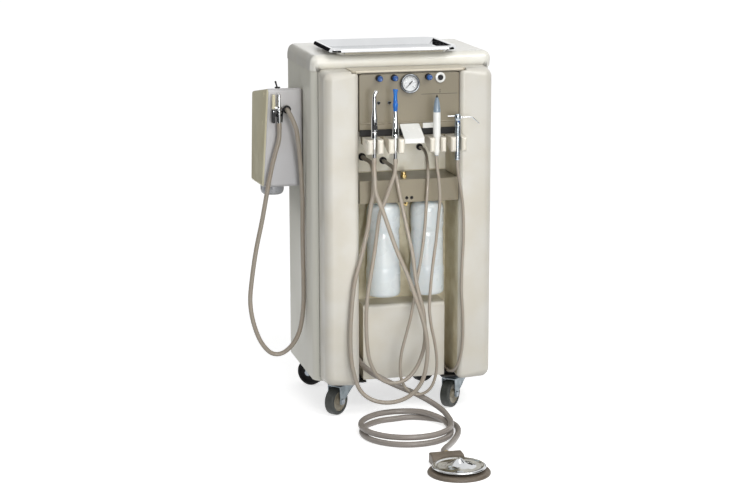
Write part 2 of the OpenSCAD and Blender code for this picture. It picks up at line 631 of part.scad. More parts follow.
// ---- foot control -------------------------------------------------------------------------
module pedal_base() {
  color("rosybrown") difference() {
    union() {
      translate([pedal_at[0], pedal_at[1], 0]) rotate_extrude($fn = 96) polygon([[0, 0], [pedal_r, 0],
        [pedal_r, 4], [pedal_r - 4, 8], [pedal_r - 10, 10], [14, 10], [12, 12], [0, 12]]);
      translate([pedal_at[0] - 50, pedal_at[1] + 50, 0]) cube([82, 48, 22]);
      translate([pedal_at[0] - 50, pedal_at[1] + 55, 0]) cube([82, 38, 27]);
      xcyl(pedal_at[1] + 93, 22, pedal_at[0] - 50, pedal_at[0] + 32, 5);
    }
    // room for the disc
    translate([pedal_at[0], pedal_at[1], 10.01]) cylinder(r = disc_r + 1.5, h = 40, $fn = 96);
    translate([pedal_at[0], pedal_at[1], 2]) cylinder(r = 6.06, h = 30, $fn = 48);
  }
}
module pedal_disc() {
  r = disc_r;
  color("silver") translate([pedal_at[0], pedal_at[1], 0]) rotate_extrude($fn = 96) polygon([
    [0, 6.2], [6, 6.2], [6, 24], [14, 21], [30, 18.2], [r - 4, 17], [r - 1.5, 15.8], [r, 16.6], [r, 19], [r - 2, 20.6],
    [r - 6, 20.4], [34, 21], [20, 24], [9, 30], [6, 36.5], [4, 38], [0, 38.4]]);
}

// ---- casters --------------------------------------------------------------------------------
module at_caster(i) { translate([caster_at[i][0], caster_at[i][1], 0]) rotate([0, 0, -caster_turn[i]]) children(); }
module caster_fork(i) {
  color("silver") at_caster(i) union() {
    difference() {
      union() {
        translate([0, 0, 79]) cylinder(r = 23, h = 8.5, $fn = 48);
        translate([-20.5, -45, 77]) cube([41, 66, 3]);
      }
      translate([0, 0, 70]) cylinder(r = 5.06, h = 30, $fn = 48);
      translate([0, -trail, 37.5]) rotate([0, 90, 0]) cylinder(r = wheel_r + 1, h = 34, center = true, $fn = 64);
    }
    for (k = [-1, 1]) translate([k > 0 ? 18 : -20.5, 0, 0]) rotate([90, 0, 90]) linear_extrude(2.5) union() {
      polygon([[-45, 79], [21, 79], [21, 70], [-trail + 8, 32], [-trail - 8, 32]]);
      translate([-trail, 37.5]) circle(r = 9.5, $fn = 32);
    }
    translate([0, -trail, 37.5]) rotate([0, 90, 0]) cylinder(r = 5, h = 46, center = true, $fn = 32);
    translate([0, -trail, 37.5]) rotate([0, 90, 0]) translate([0, 0, 20]) cylinder(r = 8, h = 4, $fn = 6);
    translate([0, -trail, 37.5]) rotate([0, 90, 0]) translate([0, 0, -24]) cylinder(r = 8, h = 4, $fn = 6);
  }
}
module wheel(i) {
  r = wheel_r;
  color("dimgray") at_caster(i) translate([0, -trail, 37.5]) rotate([0, 90, 0]) rotate_extrude($fn = 72)
    polygon([[5.05, -16.6], [9, -16.6], [10, -13], [21, -11], [26, -13.5], [31, -14], [35, -13], [r, -9], [r, 9], [35, 13],
      [31, 14], [26, 13.5], [21, 11], [10, 13], [9, 16.6], [5.05, 16.6]]);
}
module caster_fork_fl() { caster_fork(0); }
module caster_fork_fr() { caster_fork(1); }
module caster_fork_rl() { caster_fork(2); }
module caster_fork_rr() { caster_fork(3); }
module wheel_fl() { wheel(0); }
module wheel_fr() { wheel(1); }
module wheel_rl() { wheel(2); }
module wheel_rr() { wheel(3); }
module caster_plates() {
  color("silver") for (p = caster_at) union() {
    translate([p[0] - 52, p[1] - 44, 88]) cube([104, 88, base_z - 88 - 0.02]);
    translate([p[0], p[1], 77.5]) cylinder(r = 5, h = 11, $fn = 48);
  }
}
module screw_head(r, h) { cylinder(r1 = r, r2 = r * 0.8, h = h, $fn = 32); }
module screws() {
  color("silver") {
    for (p = caster_at, x = [-43, 43], y = [-35, 35])
      translate([p[0] + x, p[1] + y, 87.98]) rotate([180, 0, 0]) screw_head(4.5, 0.4 + 2.4);
    for (x = [-225, 225], z = [110, 300, 505, 710, 895])
      translate([x, back + 0.02, z]) rotate([-90, 0, 0]) screw_head(3.6, 2);
    for (x = [-80, 80], z = [110, 895])
      translate([x, back + 0.02, z]) rotate([-90, 0, 0]) screw_head(3.6, 2);
  }
}

// ---- hose fittings, inlet, inside parts ------------------------------------------------------
module hose_fittings() {
  color("darkgoldenrod") {
    ycyl(-96, 680, -74, liner_y - 0.02, 8.5);
    ycyl(-39, 668, -74, liner_y - 0.02, 8);
    ycyl(60, 700, -74, liner_y - 0.02, 7);
    ycyl(122, 105, -74, liner_y - 0.02, 7);
    ycyl(-121, 149, -74, liner_y - 0.02, 9.5);
    // foot control gland
    ycyl(pedal_at[0], 14, pedal_at[1] + 98.02, -568, 9);
    // gland of the side box
    ycyl(-283, 803, -6.4, 2.9, 7);
    // quick connector on the bottle shelf
    translate([-6, -157, shelf_top + 0.02]) cylinder(r = 8.5, h = 6, $fn = 6);
    translate([-6, -157, shelf_top + 5]) cylinder(r = 6, h = 9, $fn = 32);
    translate([-6, -157, shelf_top + 9]) cylinder(r = 7, h = 3, $fn = 32);
    // elbow under the bottle shelf
    translate([0, -166, 565]) union() {
      translate([0, 0, 4]) cylinder(r = 4, h = 7.98, $fn = 32);
      translate([0, 0, 4]) sphere(r = 4, $fn = 32);
      rotate([0, -70, 0]) translate([0, 0, 0]) cylinder(r = 3.4, h = 12, $fn = 32);
    }
  }
}
module power_inlet() {
  color("black") difference() {
    union() {
      translate([150 - 16.5, back + 0.02, 150 - 13]) cube([33, 3, 26]);
      translate([150 - 13.5, back - 22, 150 - 10]) cube([27, 23, 20]);
    }
    translate([150 - 12, back - 15, 150 - 8]) cube([24, 30, 16]);
  }
}
module air_tank() {
  color("white") union() {
    translate([-196, 118, 166]) rotate([0, 90, 0]) rotate_extrude($fn = 64) polygon([[0, 0], [20, 2], [38, 8], [49, 17],
      [55, 30], [55, 362], [49, 375], [38, 384], [20, 390], [0, 392]]);
    for (x = [-140, 120]) translate([x, 84, base_z + 12.1]) cube([20, 68, 14]);
  }
}
module compressor() {
  color("slategray") union() {
    translate([-200, -50, base_z + 12.1]) cube([170, 112, 8]);
    xcyl(5, 175, -195, -75, 48, 64);
    translate([-75, -40, base_z + 19]) cube([42, 90, 110]);
    translate([-54, 5, 215]) cylinder(r = 26, h = 30, $fn = 48);
    for (k = [0 : 3]) translate([-54, 5, 246 + k * 8]) cylinder(r = 36, h = 4, $fn = 48);
    translate([-54, 5, 244]) cylinder(r = 20, h = 34, $fn = 32);
    for (x = [-180, -110]) translate([x, -30, base_z + 19]) cube([14, 70, 30]);
  }
}
module suction_motor() {
  color("steelblue") union() {
    translate([105, 5, base_z + 12.1]) cylinder(r = 56, h = 60, $fn = 64);
    translate([105, 5, base_z + 71]) cylinder(r = 48, h = 120, $fn = 64);
    translate([105, 5, base_z + 190]) cylinder(r = 30, h = 16, $fn = 48);
    ycyl(80, 135, 50, 62, 12, 32);
  }
}

// ---- hoses ---------------------------------------------------------------------------------------
module hose_suction() { color("tan") hose(r_suction, 5.5, 40); }
module hose_ejector() { color("tan") hose(r_ejector, 5, 30); }
module hose_scaler() { color("tan") hose(r_scaler, 4, 26); }
module hose_syringe() { color("tan") hose(r_syringe, 4, 26); }
module hose_foot() { color("rosybrown") hose(r_foot, 7.5, 42, 10); }
module hose_side() { color("tan") hose(r_side, 6, 36); }

base_pan();
side_left();
side_right();
rear_panel();
cap();
column_left();
column_right();
control_panel();
recess_liner();
lower_panel();
holders();
bottle_shelf();
bottle_left();
bottle_right();
gauge_case();
gauge_needle();
panel_bushings();
push_button();
knob_left();
knob_centre();
knob_right();
toggle_left();
toggle_right();
suction_handpiece();
suction_valve();
ejector_handpiece();
ejector_valve();
scaler_handpiece();
syringe_handpiece();
syringe_air_button();
syringe_water_button();
side_box();
holster_clip();
side_handpiece();
side_handpiece_lever();
side_box_switch();
tray();
pedal_base();
pedal_disc();
caster_fork_fl();
caster_fork_fr();
caster_fork_rl();
caster_fork_rr();
wheel_fl();
wheel_fr();
wheel_rl();
wheel_rr();
caster_plates();
screws();
hose_fittings();
power_inlet();
air_tank();
compressor();
suction_motor();
hose_suction();
hose_ejector();
hose_scaler();
hose_syringe();
hose_foot();
hose_side();
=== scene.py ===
import bpy
import bmesh
import math
from math import sin, cos, pi, radians
from mathutils import Vector, Matrix


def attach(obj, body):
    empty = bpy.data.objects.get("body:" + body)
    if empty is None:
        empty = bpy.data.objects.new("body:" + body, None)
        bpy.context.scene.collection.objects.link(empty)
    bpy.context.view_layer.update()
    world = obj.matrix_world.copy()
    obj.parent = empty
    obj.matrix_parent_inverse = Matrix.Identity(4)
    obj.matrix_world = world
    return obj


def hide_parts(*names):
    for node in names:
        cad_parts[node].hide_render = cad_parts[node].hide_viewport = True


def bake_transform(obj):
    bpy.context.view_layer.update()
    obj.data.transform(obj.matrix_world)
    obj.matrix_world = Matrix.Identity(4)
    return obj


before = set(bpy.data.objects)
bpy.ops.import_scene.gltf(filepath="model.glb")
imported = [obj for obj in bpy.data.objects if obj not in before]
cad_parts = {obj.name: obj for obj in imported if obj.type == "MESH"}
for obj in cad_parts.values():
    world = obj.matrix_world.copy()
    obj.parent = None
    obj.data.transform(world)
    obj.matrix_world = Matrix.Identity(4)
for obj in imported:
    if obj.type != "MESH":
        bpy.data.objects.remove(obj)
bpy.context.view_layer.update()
scene = bpy.context.scene
COL = scene.collection
MM = 0.001

# ---------------------------------------------------------------- camera
CAM_AT = (-1.314034, -5.219598, 1.552315)
YAW, PITCH, ROLL = 0.238579, 0.208464, -0.001613


def make_camera():
    fwd = Vector((sin(YAW) * cos(PITCH), cos(YAW) * cos(PITCH), -sin(PITCH)))
    right = Vector((cos(YAW), -sin(YAW), 0))
    up = right.cross(fwd)
    r2 = right * cos(ROLL) + up * sin(ROLL)
    u2 = -right * sin(ROLL) + up * cos(ROLL)
    data = bpy.data.cameras.new("camera")
    data.sensor_width = 36
    data.lens = 98.085
    data.clip_start, data.clip_end = 0.1, 60
    cam = bpy.data.objects.new("camera", data)
    COL.objects.link(cam)
    m = Matrix(((r2.x, u2.x, -fwd.x, CAM_AT[0]), (r2.y, u2.y, -fwd.y, CAM_AT[1]),
                (r2.z, u2.z, -fwd.z, CAM_AT[2]), (0, 0, 0, 1)))
    cam.matrix_world = m
    scene.camera = cam


make_camera()


# ---------------------------------------------------------------- materials
def lin(r, g, b):
    def f(c):
        c /= 255.0
        return c / 12.92 if c <= 0.04045 else ((c + 0.055) / 1.055) ** 2.4
    return (f(r), f(g), f(b), 1.0)


def scaled(c, k):
    return (min(1, c[0] * k), min(1, c[1] * k), min(1, c[2] * k), 1.0)


class Mat:
    """A principled material with its own colour, roughness and bump detail."""

    def __init__(self, name, base, rough=0.4, metal=0.0, coat=0.0, coat_rough=0.1, spec=0.5, ior=1.5):
        self.m = bpy.data.materials.new(name)
        self.m.use_nodes = True
        self.nt = self.m.node_tree
        self.bsdf = self.nt.nodes["Principled BSDF"]
        self.out = self.nt.nodes["Material Output"]
        self.base = base
        b = self.bsdf.inputs
        b["Base Color"].default_value = base
        b["Roughness"].default_value = rough
        b["Metallic"].default_value = metal
        b["Coat Weight"].default_value = coat
        b["Coat Roughness"].default_value = coat_rough
        b["Specular IOR Level"].default_value = spec
        b["IOR"].default_value = ior
        self.tc = self.nt.nodes.new("ShaderNodeTexCoord")
        self.colour = None
        self.normal = None

    def node(self, kind, **inputs):
        n = self.nt.nodes.new(kind)
        for k, v in inputs.items():
            n.inputs[k].default_value = v
        return n

    def coords(self, scale=(1, 1, 1)):
        n = self.nt.nodes.new("ShaderNodeMapping")
        n.inputs["Scale"].default_value = scale
        self.nt.links.new(self.tc.outputs["Object"], n.inputs["Vector"])
        return n.outputs["Vector"]

    def noise(self, scale, detail=3.0, stretch=(1, 1, 1), rough=0.5):
        n = self.node("ShaderNodeTexNoise", Scale=scale, Detail=detail, Roughness=rough)
        self.nt.links.new(self.coords(stretch), n.inputs["Vector"])
        return n.outputs["Fac"]

    def ranged(self, fac, lo, hi, a, b):
        n = self.nt.nodes.new("ShaderNodeMapRange")
        n.inputs["From Min"].default_value = lo
        n.inputs["From Max"].default_value = hi
        n.inputs["To Min"].default_value = a
        n.inputs["To Max"].default_value = b
        self.nt.links.new(fac, n.inputs["Value"])
        return n.outputs["Result"]

    def mix_colour(self, fac, other, mode="MIX"):
        """Mixes the colour so far towards another one where fac is 1."""
        n = self.nt.nodes.new("ShaderNodeMix")
        n.data_type = "RGBA"
        n.blend_type = mode
        if self.colour is None:
            n.inputs["A"].default_value = self.base
        else:
            self.nt.links.new(self.colour, n.inputs["A"])
        n.inputs["B"].default_value = other
        # the colour sockets of a mix node come after its float and vector ones
        self.nt.links.new(fac, n.inputs[0])
        if self.colour is not None:
            self.nt.links.new(self.colour, n.inputs[6])
        else:
            n.inputs[6].default_value = self.base
        n.inputs[7].default_value = other
        self.colour = n.outputs[2]
        self.nt.links.new(self.colour, self.bsdf.inputs["Base Color"])
        return self

    def tone(self, scale, amount, other=None, detail=4.0, stretch=(1, 1, 1), lo=0.35, hi=0.65):
        """Slow drift of colour over the surface."""
        other = other or scaled(self.base, 1 - amount)
        return self.mix_colour(self.ranged(self.noise(scale, detail, stretch), lo, hi, 0, 1), other)

    def specks(self, scale, amount, colour, lo=0.66, hi=0.72):
        return self.mix_colour(self.ranged(self.noise(scale, 1.0), lo, hi, 0, amount), colour)

    def painted_crevice_shade(self, distance, amount, colour):
        """Painted shade: darker in seams and inside corners, where the ambient-occlusion mask finds them."""
        ao = self.node("ShaderNodeAmbientOcclusion", Distance=distance)
        ao.samples = 4
        return self.mix_colour(self.ranged(ao.outputs["AO"], 0.15, 0.85, amount, 0), colour)

    def gloss(self, scale, lo, hi, stretch=(1, 1, 1), detail=3.0):
        r = self.ranged(self.noise(scale, detail, stretch), 0.3, 0.7, lo, hi)
        self.nt.links.new(r, self.bsdf.inputs["Roughness"])
        return self

    def bump(self, scale, strength, distance=0.0002, stretch=(1, 1, 1), detail=2.0, fac=None):
        n = self.nt.nodes.new("ShaderNodeBump")
        n.inputs["Strength"].default_value = strength
        n.inputs["Distance"].default_value = distance
        self.nt.links.new(self.noise(scale, detail, stretch) if fac is None else fac, n.inputs["Height"])
        if self.normal is not None:
            self.nt.links.new(self.normal, n.inputs["Normal"])
        self.normal = n.outputs["Normal"]
        self.nt.links.new(self.normal, self.bsdf.inputs["Normal"])
        return self

    def sss(self, weight, radius, scale=0.01):
        self.bsdf.inputs["Subsurface Weight"].default_value = weight
        self.bsdf.inputs["Subsurface Radius"].default_value = radius
        self.bsdf.inputs["Subsurface Scale"].default_value = scale
        return self


CREAM = lin(226, 220, 208)
# brown that paints shade into seams and inside corners through the ambient-occlusion mixes
CREVICE_SHADE_BROWN = lin(120, 108, 88)
M = {}


def make_materials():
    # every ambient-occlusion mix in these materials paints shade into seams and inside corners
    m = Mat("shell_paint", lin(216, 213, 204), rough=0.34, coat=0.25, coat_rough=0.22)
    m.tone(2.2, 0.03).tone(14, 0.02, lin(211, 206, 193)).specks(900, 0.10, lin(186, 179, 162))
    m.painted_crevice_shade(0.012, 0.30, CREVICE_SHADE_BROWN).gloss(9, 0.30, 0.42).bump(620, 0.10, 0.00025).bump(3.5, 0.05, 0.003)
    M["shell"] = m.m
    # lid: a lighter copy of the shell paint, painted light standing in for the light on the lid's front roll
    m = Mat("lid_paint_lit_copy", lin(240, 239, 231), rough=0.30, coat=0.35, coat_rough=0.16)
    m.tone(2.2, 0.02).tone(14, 0.015, lin(234, 231, 220)).specks(900, 0.08, lin(208, 202, 186))
    m.painted_crevice_shade(0.012, 0.26, CREVICE_SHADE_BROWN).gloss(9, 0.26, 0.38).bump(620, 0.10, 0.00025).bump(3.5, 0.05, 0.003)
    M["lid"] = m.m
    m = Mat("shell_inner", lin(196, 190, 176), rough=0.5)
    m.tone(5, 0.06).gloss(12, 0.42, 0.6).bump(500, 0.12, 0.0002)
    M["inner"] = m.m
    m = Mat("side_paint", lin(228, 227, 216), rough=0.42, coat=0.05, coat_rough=0.3, spec=0.3)
    m.tone(2.0, 0.025, lin(223, 221, 208)).tone(16, 0.02).specks(900, 0.10, lin(196, 190, 172))
    m.painted_crevice_shade(0.014, 0.28, CREVICE_SHADE_BROWN).gloss(9, 0.36, 0.46).bump(560, 0.12, 0.00025)
    M["side"] = m.m
    m = Mat("panel_paint", lin(132, 123, 102), rough=0.36, coat=0.15, coat_rough=0.2)
    m.tone(6, 0.05).specks(1400, 0.22, lin(118, 109, 90), 0.60, 0.70).specks(1100, 0.18, lin(164, 154, 134), 0.62, 0.72)
    m.painted_crevice_shade(0.010, 0.45, lin(70, 62, 50)).gloss(10, 0.30, 0.44).bump(900, 0.14, 0.0002)
    M["panel"] = m.m
    # liner: painted lighter than the wall's own colour, standing in for light inside the deep recess
    m = Mat("liner_paint_lifted", lin(234, 226, 200), rough=0.42, coat=0.1, coat_rough=0.3)
    m.tone(4, 0.06).tone(24, 0.05, lin(208, 197, 166)).specks(1200, 0.15, lin(176, 166, 136))
    m.painted_crevice_shade(0.02, 0.30, lin(78, 70, 50)).gloss(9, 0.34, 0.5).bump(700, 0.14, 0.0002)
    M["liner"] = m.m
    m = Mat("cover_paint", lin(212, 203, 183), rough=0.36, coat=0.15, coat_rough=0.2)
    m.tone(6, 0.05).specks(1300, 0.18, lin(172, 162, 140), 0.60, 0.70).gloss(10, 0.30, 0.44).bump(900, 0.14, 0.0002)
    m.painted_crevice_shade(0.006, 0.4, lin(84, 76, 62))
    M["cover"] = m.m
    # painted light: the upper recess wall in a lighter copy of its paint, where light reaches it
    m = Mat("back_plate_lit_paint", lin(238, 235, 222), rough=0.45)
    m.tone(5, 0.05).tone(20, 0.03, lin(222, 216, 196)).gloss(12, 0.38, 0.55).bump(600, 0.12, 0.0002)
    M["lit_backplate"] = m.m
    m = Mat("holder_plastic", lin(232, 226, 212), rough=0.28, coat=0.3, coat_rough=0.15)
    m.tone(18, 0.05).painted_crevice_shade(0.008, 0.35, lin(118, 104, 84)).gloss(22, 0.22, 0.36).bump(500, 0.06, 0.0002)
    m.sss(0.08, (0.6, 0.5, 0.4), 0.004)
    M["holder"] = m.m
    m = Mat("bottle_plastic", lin(216, 221, 221), rough=0.26, coat=0.25, coat_rough=0.2)
    m.tone(11, 0.06, lin(200, 207, 210)).tone(38, 0.03).gloss(16, 0.20, 0.38).bump(18, 0.25, 0.0022, detail=1.5)
    m.sss(0.75, (0.8, 0.95, 1.0), 0.03)
    M["bottle"] = m.m
    m = Mat("bottle_water", lin(190, 208, 220), rough=0.1)
    m.tone(9, 0.05).bump(30, 0.05, 0.001)
    M["water"] = m.m
    m = Mat("chrome", (0.64, 0.65, 0.66, 1), rough=0.06, metal=1)
    m.tone(40, 0.05).gloss(60, 0.035, 0.12).bump(240, 0.02, 0.0001)
    M["chrome"] = m.m
    m = Mat("satin_chrome", (0.44, 0.49, 0.53, 1), rough=0.2, metal=1)
    m.tone(60, 0.10).gloss(120, 0.16, 0.32, stretch=(1, 1, 8)).bump(900, 0.05, 0.0001, stretch=(1, 1, 10))
    M["satin"] = m.m
    m = Mat("tray_steel", (0.74, 0.75, 0.76, 1), rough=0.06, metal=1)
    m.tone(12, 0.06).gloss(30, 0.035, 0.10, stretch=(1, 6, 1)).bump(700, 0.03, 0.0001, stretch=(1, 14, 1)).bump(7, 0.05, 0.001)
    M["tray"] = m.m
    m = Mat("gauge_bezel", (0.20, 0.21, 0.22, 1), rough=0.08, metal=1)
    m.tone(40, 0.08).gloss(60, 0.05, 0.14).bump(240, 0.02, 0.0001)
    M["bezel"] = m.m
    m = Mat("zinc_plate", lin(186, 192, 198), rough=0.34, metal=0.9)
    m.tone(50, 0.16, lin(140, 148, 156)).specks(500, 0.3, lin(214, 216, 210)).gloss(70, 0.26, 0.5).bump(600, 0.10, 0.0001)
    M["zinc"] = m.m
    m = Mat("caster_bracket", lin(168, 178, 184), rough=0.38, metal=0.75)
    m.tone(45, 0.14, lin(128, 138, 144)).specks(420, 0.25, lin(200, 204, 200)).gloss(60, 0.3, 0.52).bump(500, 0.10, 0.0001)
    m.painted_crevice_shade(0.006, 0.5, lin(50, 50, 46))
    M["bracket"] = m.m
    m = Mat("black_plate", lin(24, 24, 24), rough=0.5, spec=0.3)
    m.tone(30, 0.3, lin(52, 50, 46)).gloss(40, 0.42, 0.62).bump(500, 0.12, 0.0002)
    M["plate"] = m.m
    m = Mat("wheel_tread", lin(58, 61, 58), rough=0.42)
    m.tone(28, 0.16, lin(44, 47, 44)).specks(300, 0.2, lin(96, 94, 86), 0.6, 0.7)
    m.gloss(36, 0.42, 0.62).bump(420, 0.16, 0.0002)
    M["tread"] = m.m
    # rear tyres and hubs: a darker copy of the tread, painted shade for the wheels under the cabinet
    m = Mat("wheel_tread_rear", lin(20, 20, 20), rough=0.55, spec=0.2)
    m.tone(28, 0.2, lin(12, 12, 12)).specks(300, 0.2, lin(46, 44, 40), 0.6, 0.7)
    m.gloss(36, 0.4, 0.62).bump(420, 0.16, 0.0002)
    M["tread_rear_shaded"] = m.m
    m = Mat("wheel_hub", lin(150, 143, 126), rough=0.4)
    m.tone(40, 0.12, lin(124, 116, 98)).painted_crevice_shade(0.006, 0.5, lin(60, 54, 44)).gloss(50, 0.32, 0.5).bump(400, 0.1, 0.0002)
    M["hub"] = m.m
    m = Mat("black_plastic", lin(20, 20, 22), rough=0.42, spec=0.22)
    m.tone(60, 0.3, lin(40, 40, 42)).gloss(80, 0.3, 0.5).bump(900, 0.12, 0.00015)
    M["black"] = m.m
    # near-black fill, painted shade for the insides of openings and the gap under the console
    m = Mat("shade_black_fill", lin(10, 10, 10), rough=0.7)
    m.tone(60, 0.3, lin(18, 17, 16)).bump(600, 0.1, 0.0001)
    M["dark"] = m.m
    m = Mat("seam_rubber", lin(66, 60, 48), rough=0.6, spec=0.2)
    m.tone(60, 0.25, lin(48, 42, 34)).bump(600, 0.1, 0.0001)
    M["seam"] = m.m
    m = Mat("knob_blue", lin(0, 80, 156), rough=0.24, coat=0.12, coat_rough=0.1)
    m.tone(90, 0.12, lin(0, 62, 122)).gloss(120, 0.18, 0.32).bump(900, 0.08, 0.0001)
    M["blue"] = m.m
    m = Mat("tip_blue", lin(0, 116, 204), rough=0.26, coat=0.3, coat_rough=0.15)
    m.tone(70, 0.14, lin(0, 88, 176)).gloss(100, 0.2, 0.34).bump(800, 0.08, 0.0001)
    M["tip"] = m.m
    m = Mat("white_gloss", lin(238, 238, 234), rough=0.24, coat=0.35, coat_rough=0.12)
    m.tone(24, 0.04).specks(700, 0.08, lin(214, 212, 206)).gloss(30, 0.18, 0.3).bump(400, 0.05, 0.0001)
    M["white"] = m.m
    m = Mat("nose_grey", lin(142, 158, 172), rough=0.3, coat=0.2, coat_rough=0.2)
    m.tone(50, 0.10, lin(124, 140, 154)).gloss(60, 0.24, 0.38).bump(700, 0.08, 0.0001)
    M["nose"] = m.m
    m = Mat("dial_white", lin(238, 240, 240), rough=0.5)
    m.tone(80, 0.03).bump(900, 0.03, 0.00005)
    M["dial"] = m.m
    m = Mat("ink_black", lin(22, 22, 24), rough=0.6)
    m.tone(200, 0.3, lin(38, 38, 40)).bump(900, 0.04, 0.00005)
    M["ink"] = m.m
    m = Mat("box_plastic", lin(200, 200, 203), rough=0.34, coat=0.2, coat_rough=0.22)
    m.tone(5, 0.04, lin(194, 192, 192)).specks(800, 0.10, lin(176, 174, 170)).painted_crevice_shade(0.012, 0.25, CREVICE_SHADE_BROWN)
    m.gloss(14, 0.28, 0.4).bump(480, 0.10, 0.0002)
    M["box"] = m.m
    # left face of the holster box: a lighter copy of its plastic, painted light standing in for light on that dim side
    m = Mat("box_side_plastic", lin(228, 222, 194), rough=0.4, coat=0.15, coat_rough=0.25)
    m.tone(5, 0.05, lin(218, 210, 178)).specks(800, 0.12, lin(196, 188, 162)).painted_crevice_shade(0.012, 0.25, CREVICE_SHADE_BROWN)
    m.gloss(14, 0.33, 0.46).bump(480, 0.10, 0.0002)
    M["box_lit_left_face"] = m.m
    m = Mat("cup_plastic", lin(176, 178, 182), rough=0.24, coat=0.2, coat_rough=0.15)
    m.tone(20, 0.08).gloss(24, 0.18, 0.34).bump(300, 0.08, 0.0002)
    m.sss(0.3, (0.6, 0.6, 0.65), 0.006)
    M["cup"] = m.m
    m = Mat("hose_skin", lin(160, 151, 138), rough=0.36, coat=0.3, coat_rough=0.16)
    m.tone(26, 0.06, lin(160, 146, 130)).tone(120, 0.03).specks(1500, 0.10, lin(140, 126, 110))
    m.gloss(60, 0.36, 0.52).bump(700, 0.10, 0.0001)
    M["hose"] = m.m
    m = Mat("hose_dark_skin", lin(146, 138, 131), rough=0.36, coat=0.3, coat_rough=0.16)
    m.tone(22, 0.06, lin(134, 127, 120)).tone(120, 0.03).specks(1500, 0.10, lin(118, 110, 102))
    m.gloss(60, 0.36, 0.52).bump(700, 0.10, 0.0001)
    M["foot_hose"] = m.m
    m = Mat("foot_plastic", lin(116, 105, 92), rough=0.42)
    m.tone(20, 0.08, lin(98, 88, 76)).specks(1100, 0.22, lin(82, 72, 62), 0.6, 0.7)
    m.gloss(30, 0.4, 0.56).bump(1000, 0.2, 0.0002)
    M["foot"] = m.m
    m = Mat("brass", (0.66, 0.50, 0.22, 1), rough=0.28, metal=1)
    m.tone(90, 0.16).gloss(120, 0.2, 0.38).bump(800, 0.06, 0.0001)
    M["brass"] = m.m
    m = Mat("tank_paint", lin(224, 226, 226), rough=0.3, coat=0.3)
    m.tone(6, 0.05).gloss(12, 0.24, 0.4).bump(400, 0.08, 0.0002)
    M["tank"] = m.m
    m = Mat("motor_paint", lin(84, 96, 106), rough=0.45)
    m.tone(20, 0.14).specks(700, 0.2, lin(120, 128, 134)).gloss(24, 0.36, 0.56).bump(240, 0.2, 0.0004)
    M["motor"] = m.m
    m = Mat("motor_blue_paint", lin(64, 96, 128), rough=0.4, coat=0.2)
    m.tone(20, 0.12).gloss(24, 0.3, 0.5).bump(120, 0.25, 0.0006)
    M["motor_blue"] = m.m
    m = Mat("rubber_gland", lin(30, 29, 28), rough=0.6)
    m.tone(60, 0.25, lin(46, 44, 42)).gloss(60, 0.5, 0.7).bump(700, 0.14, 0.0002)
    M["rubber"] = m.m


make_materials()


def lens_material():
    m = bpy.data.materials.new("lens_clear")
    m.use_nodes = True
    nt = m.node_tree
    nt.nodes.clear()
    out = nt.nodes.new("ShaderNodeOutputMaterial")
    b = nt.nodes.new("ShaderNodeBsdfPrincipled")
    b.inputs["Base Color"].default_value = (1, 1, 1, 1)
    b.inputs["Roughness"].default_value = 0.03
    b.inputs["Alpha"].default_value = 0.06
    t = nt.nodes.new("ShaderNodeTexCoord")
    n = nt.nodes.new("ShaderNodeTexNoise")
    n.inputs["Scale"].default_value = 70
    r = nt.nodes.new("ShaderNodeMapRange")
    r.inputs["To Min"].default_value = 0.02
    r.inputs["To Max"].default_value = 0.08
    nt.links.new(t.outputs["Object"], n.inputs["Vector"])
    nt.links.new(n.outputs["Fac"], r.inputs["Value"])
    nt.links.new(r.outputs["Result"], b.inputs["Roughness"])
    nt.links.new(b.outputs["BSDF"], out.inputs["Surface"])
    return m


M["lens"] = lens_material()


# ---------------------------------------------------------------- mesh tools (millimetres in, metres out)
def finish_mesh(name, bm, mat, angle=35, weighted=False, normals=True):
    if normals:
        bmesh.ops.recalc_face_normals(bm, faces=bm.faces)
    for v in bm.verts:
        v.co *= MM
    me = bpy.data.meshes.new(name)
    bm.to_mesh(me)
    bm.free()
    me.materials.append(M[mat] if isinstance(mat, str) else mat)
    if angle:
        me.polygons.foreach_set("use_smooth", [True] * len(me.polygons))
        me.set_sharp_from_angle(angle=radians(angle))
    o = bpy.data.objects.new(name, me)
    COL.objects.link(o)
    if weighted:
        w = o.modifiers.new("normals", "WEIGHTED_NORMAL")
        w.keep_sharp = True
        w.weight = 80
    return o


def put(o, body="cabinet", replaces=()):
    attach(o, body)
    if replaces:
        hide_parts(*replaces)
    return o


def rounded(pts, r, closed=True, n=4):
    """2D polygon with its corners rounded by up to r."""
    out = []
    k = len(pts)
    for i, p in enumerate(pts):
        if not closed and i in (0, k - 1):
            out.append(tuple(p))
            continue
        a, b, c = Vector(pts[i - 1]), Vector(p), Vector(pts[(i + 1) % k])
        u, v = a - b, c - b
        if u.length < 1e-6 or v.length < 1e-6:
            out.append(tuple(p))
            continue
        ang = u.angle(v)
        if ang > radians(174):
            out.append(tuple(p))
            continue
        d = min(r, u.length * 0.46, v.length * 0.46)
        p0, p2 = b + u.normalized() * d, b + v.normalized() * d
        for j in range(n + 1):
            t = j / n
            q = p0 * (1 - t) ** 2 + b * 2 * t * (1 - t) + p2 * t * t
            out.append((q.x, q.y))
    return out


AXES = {"z": (Vector((1, 0, 0)), Vector((0, 1, 0)), Vector((0, 0, 1))),
        "y": (Vector((1, 0, 0)), Vector((0, 0, 1)), Vector((0, -1, 0))),
        "-y": (Vector((1, 0, 0)), Vector((0, 0, 1)), Vector((0, 1, 0))),
        "x": (Vector((0, 1, 0)), Vector((0, 0, 1)), Vector((1, 0, 0)))}


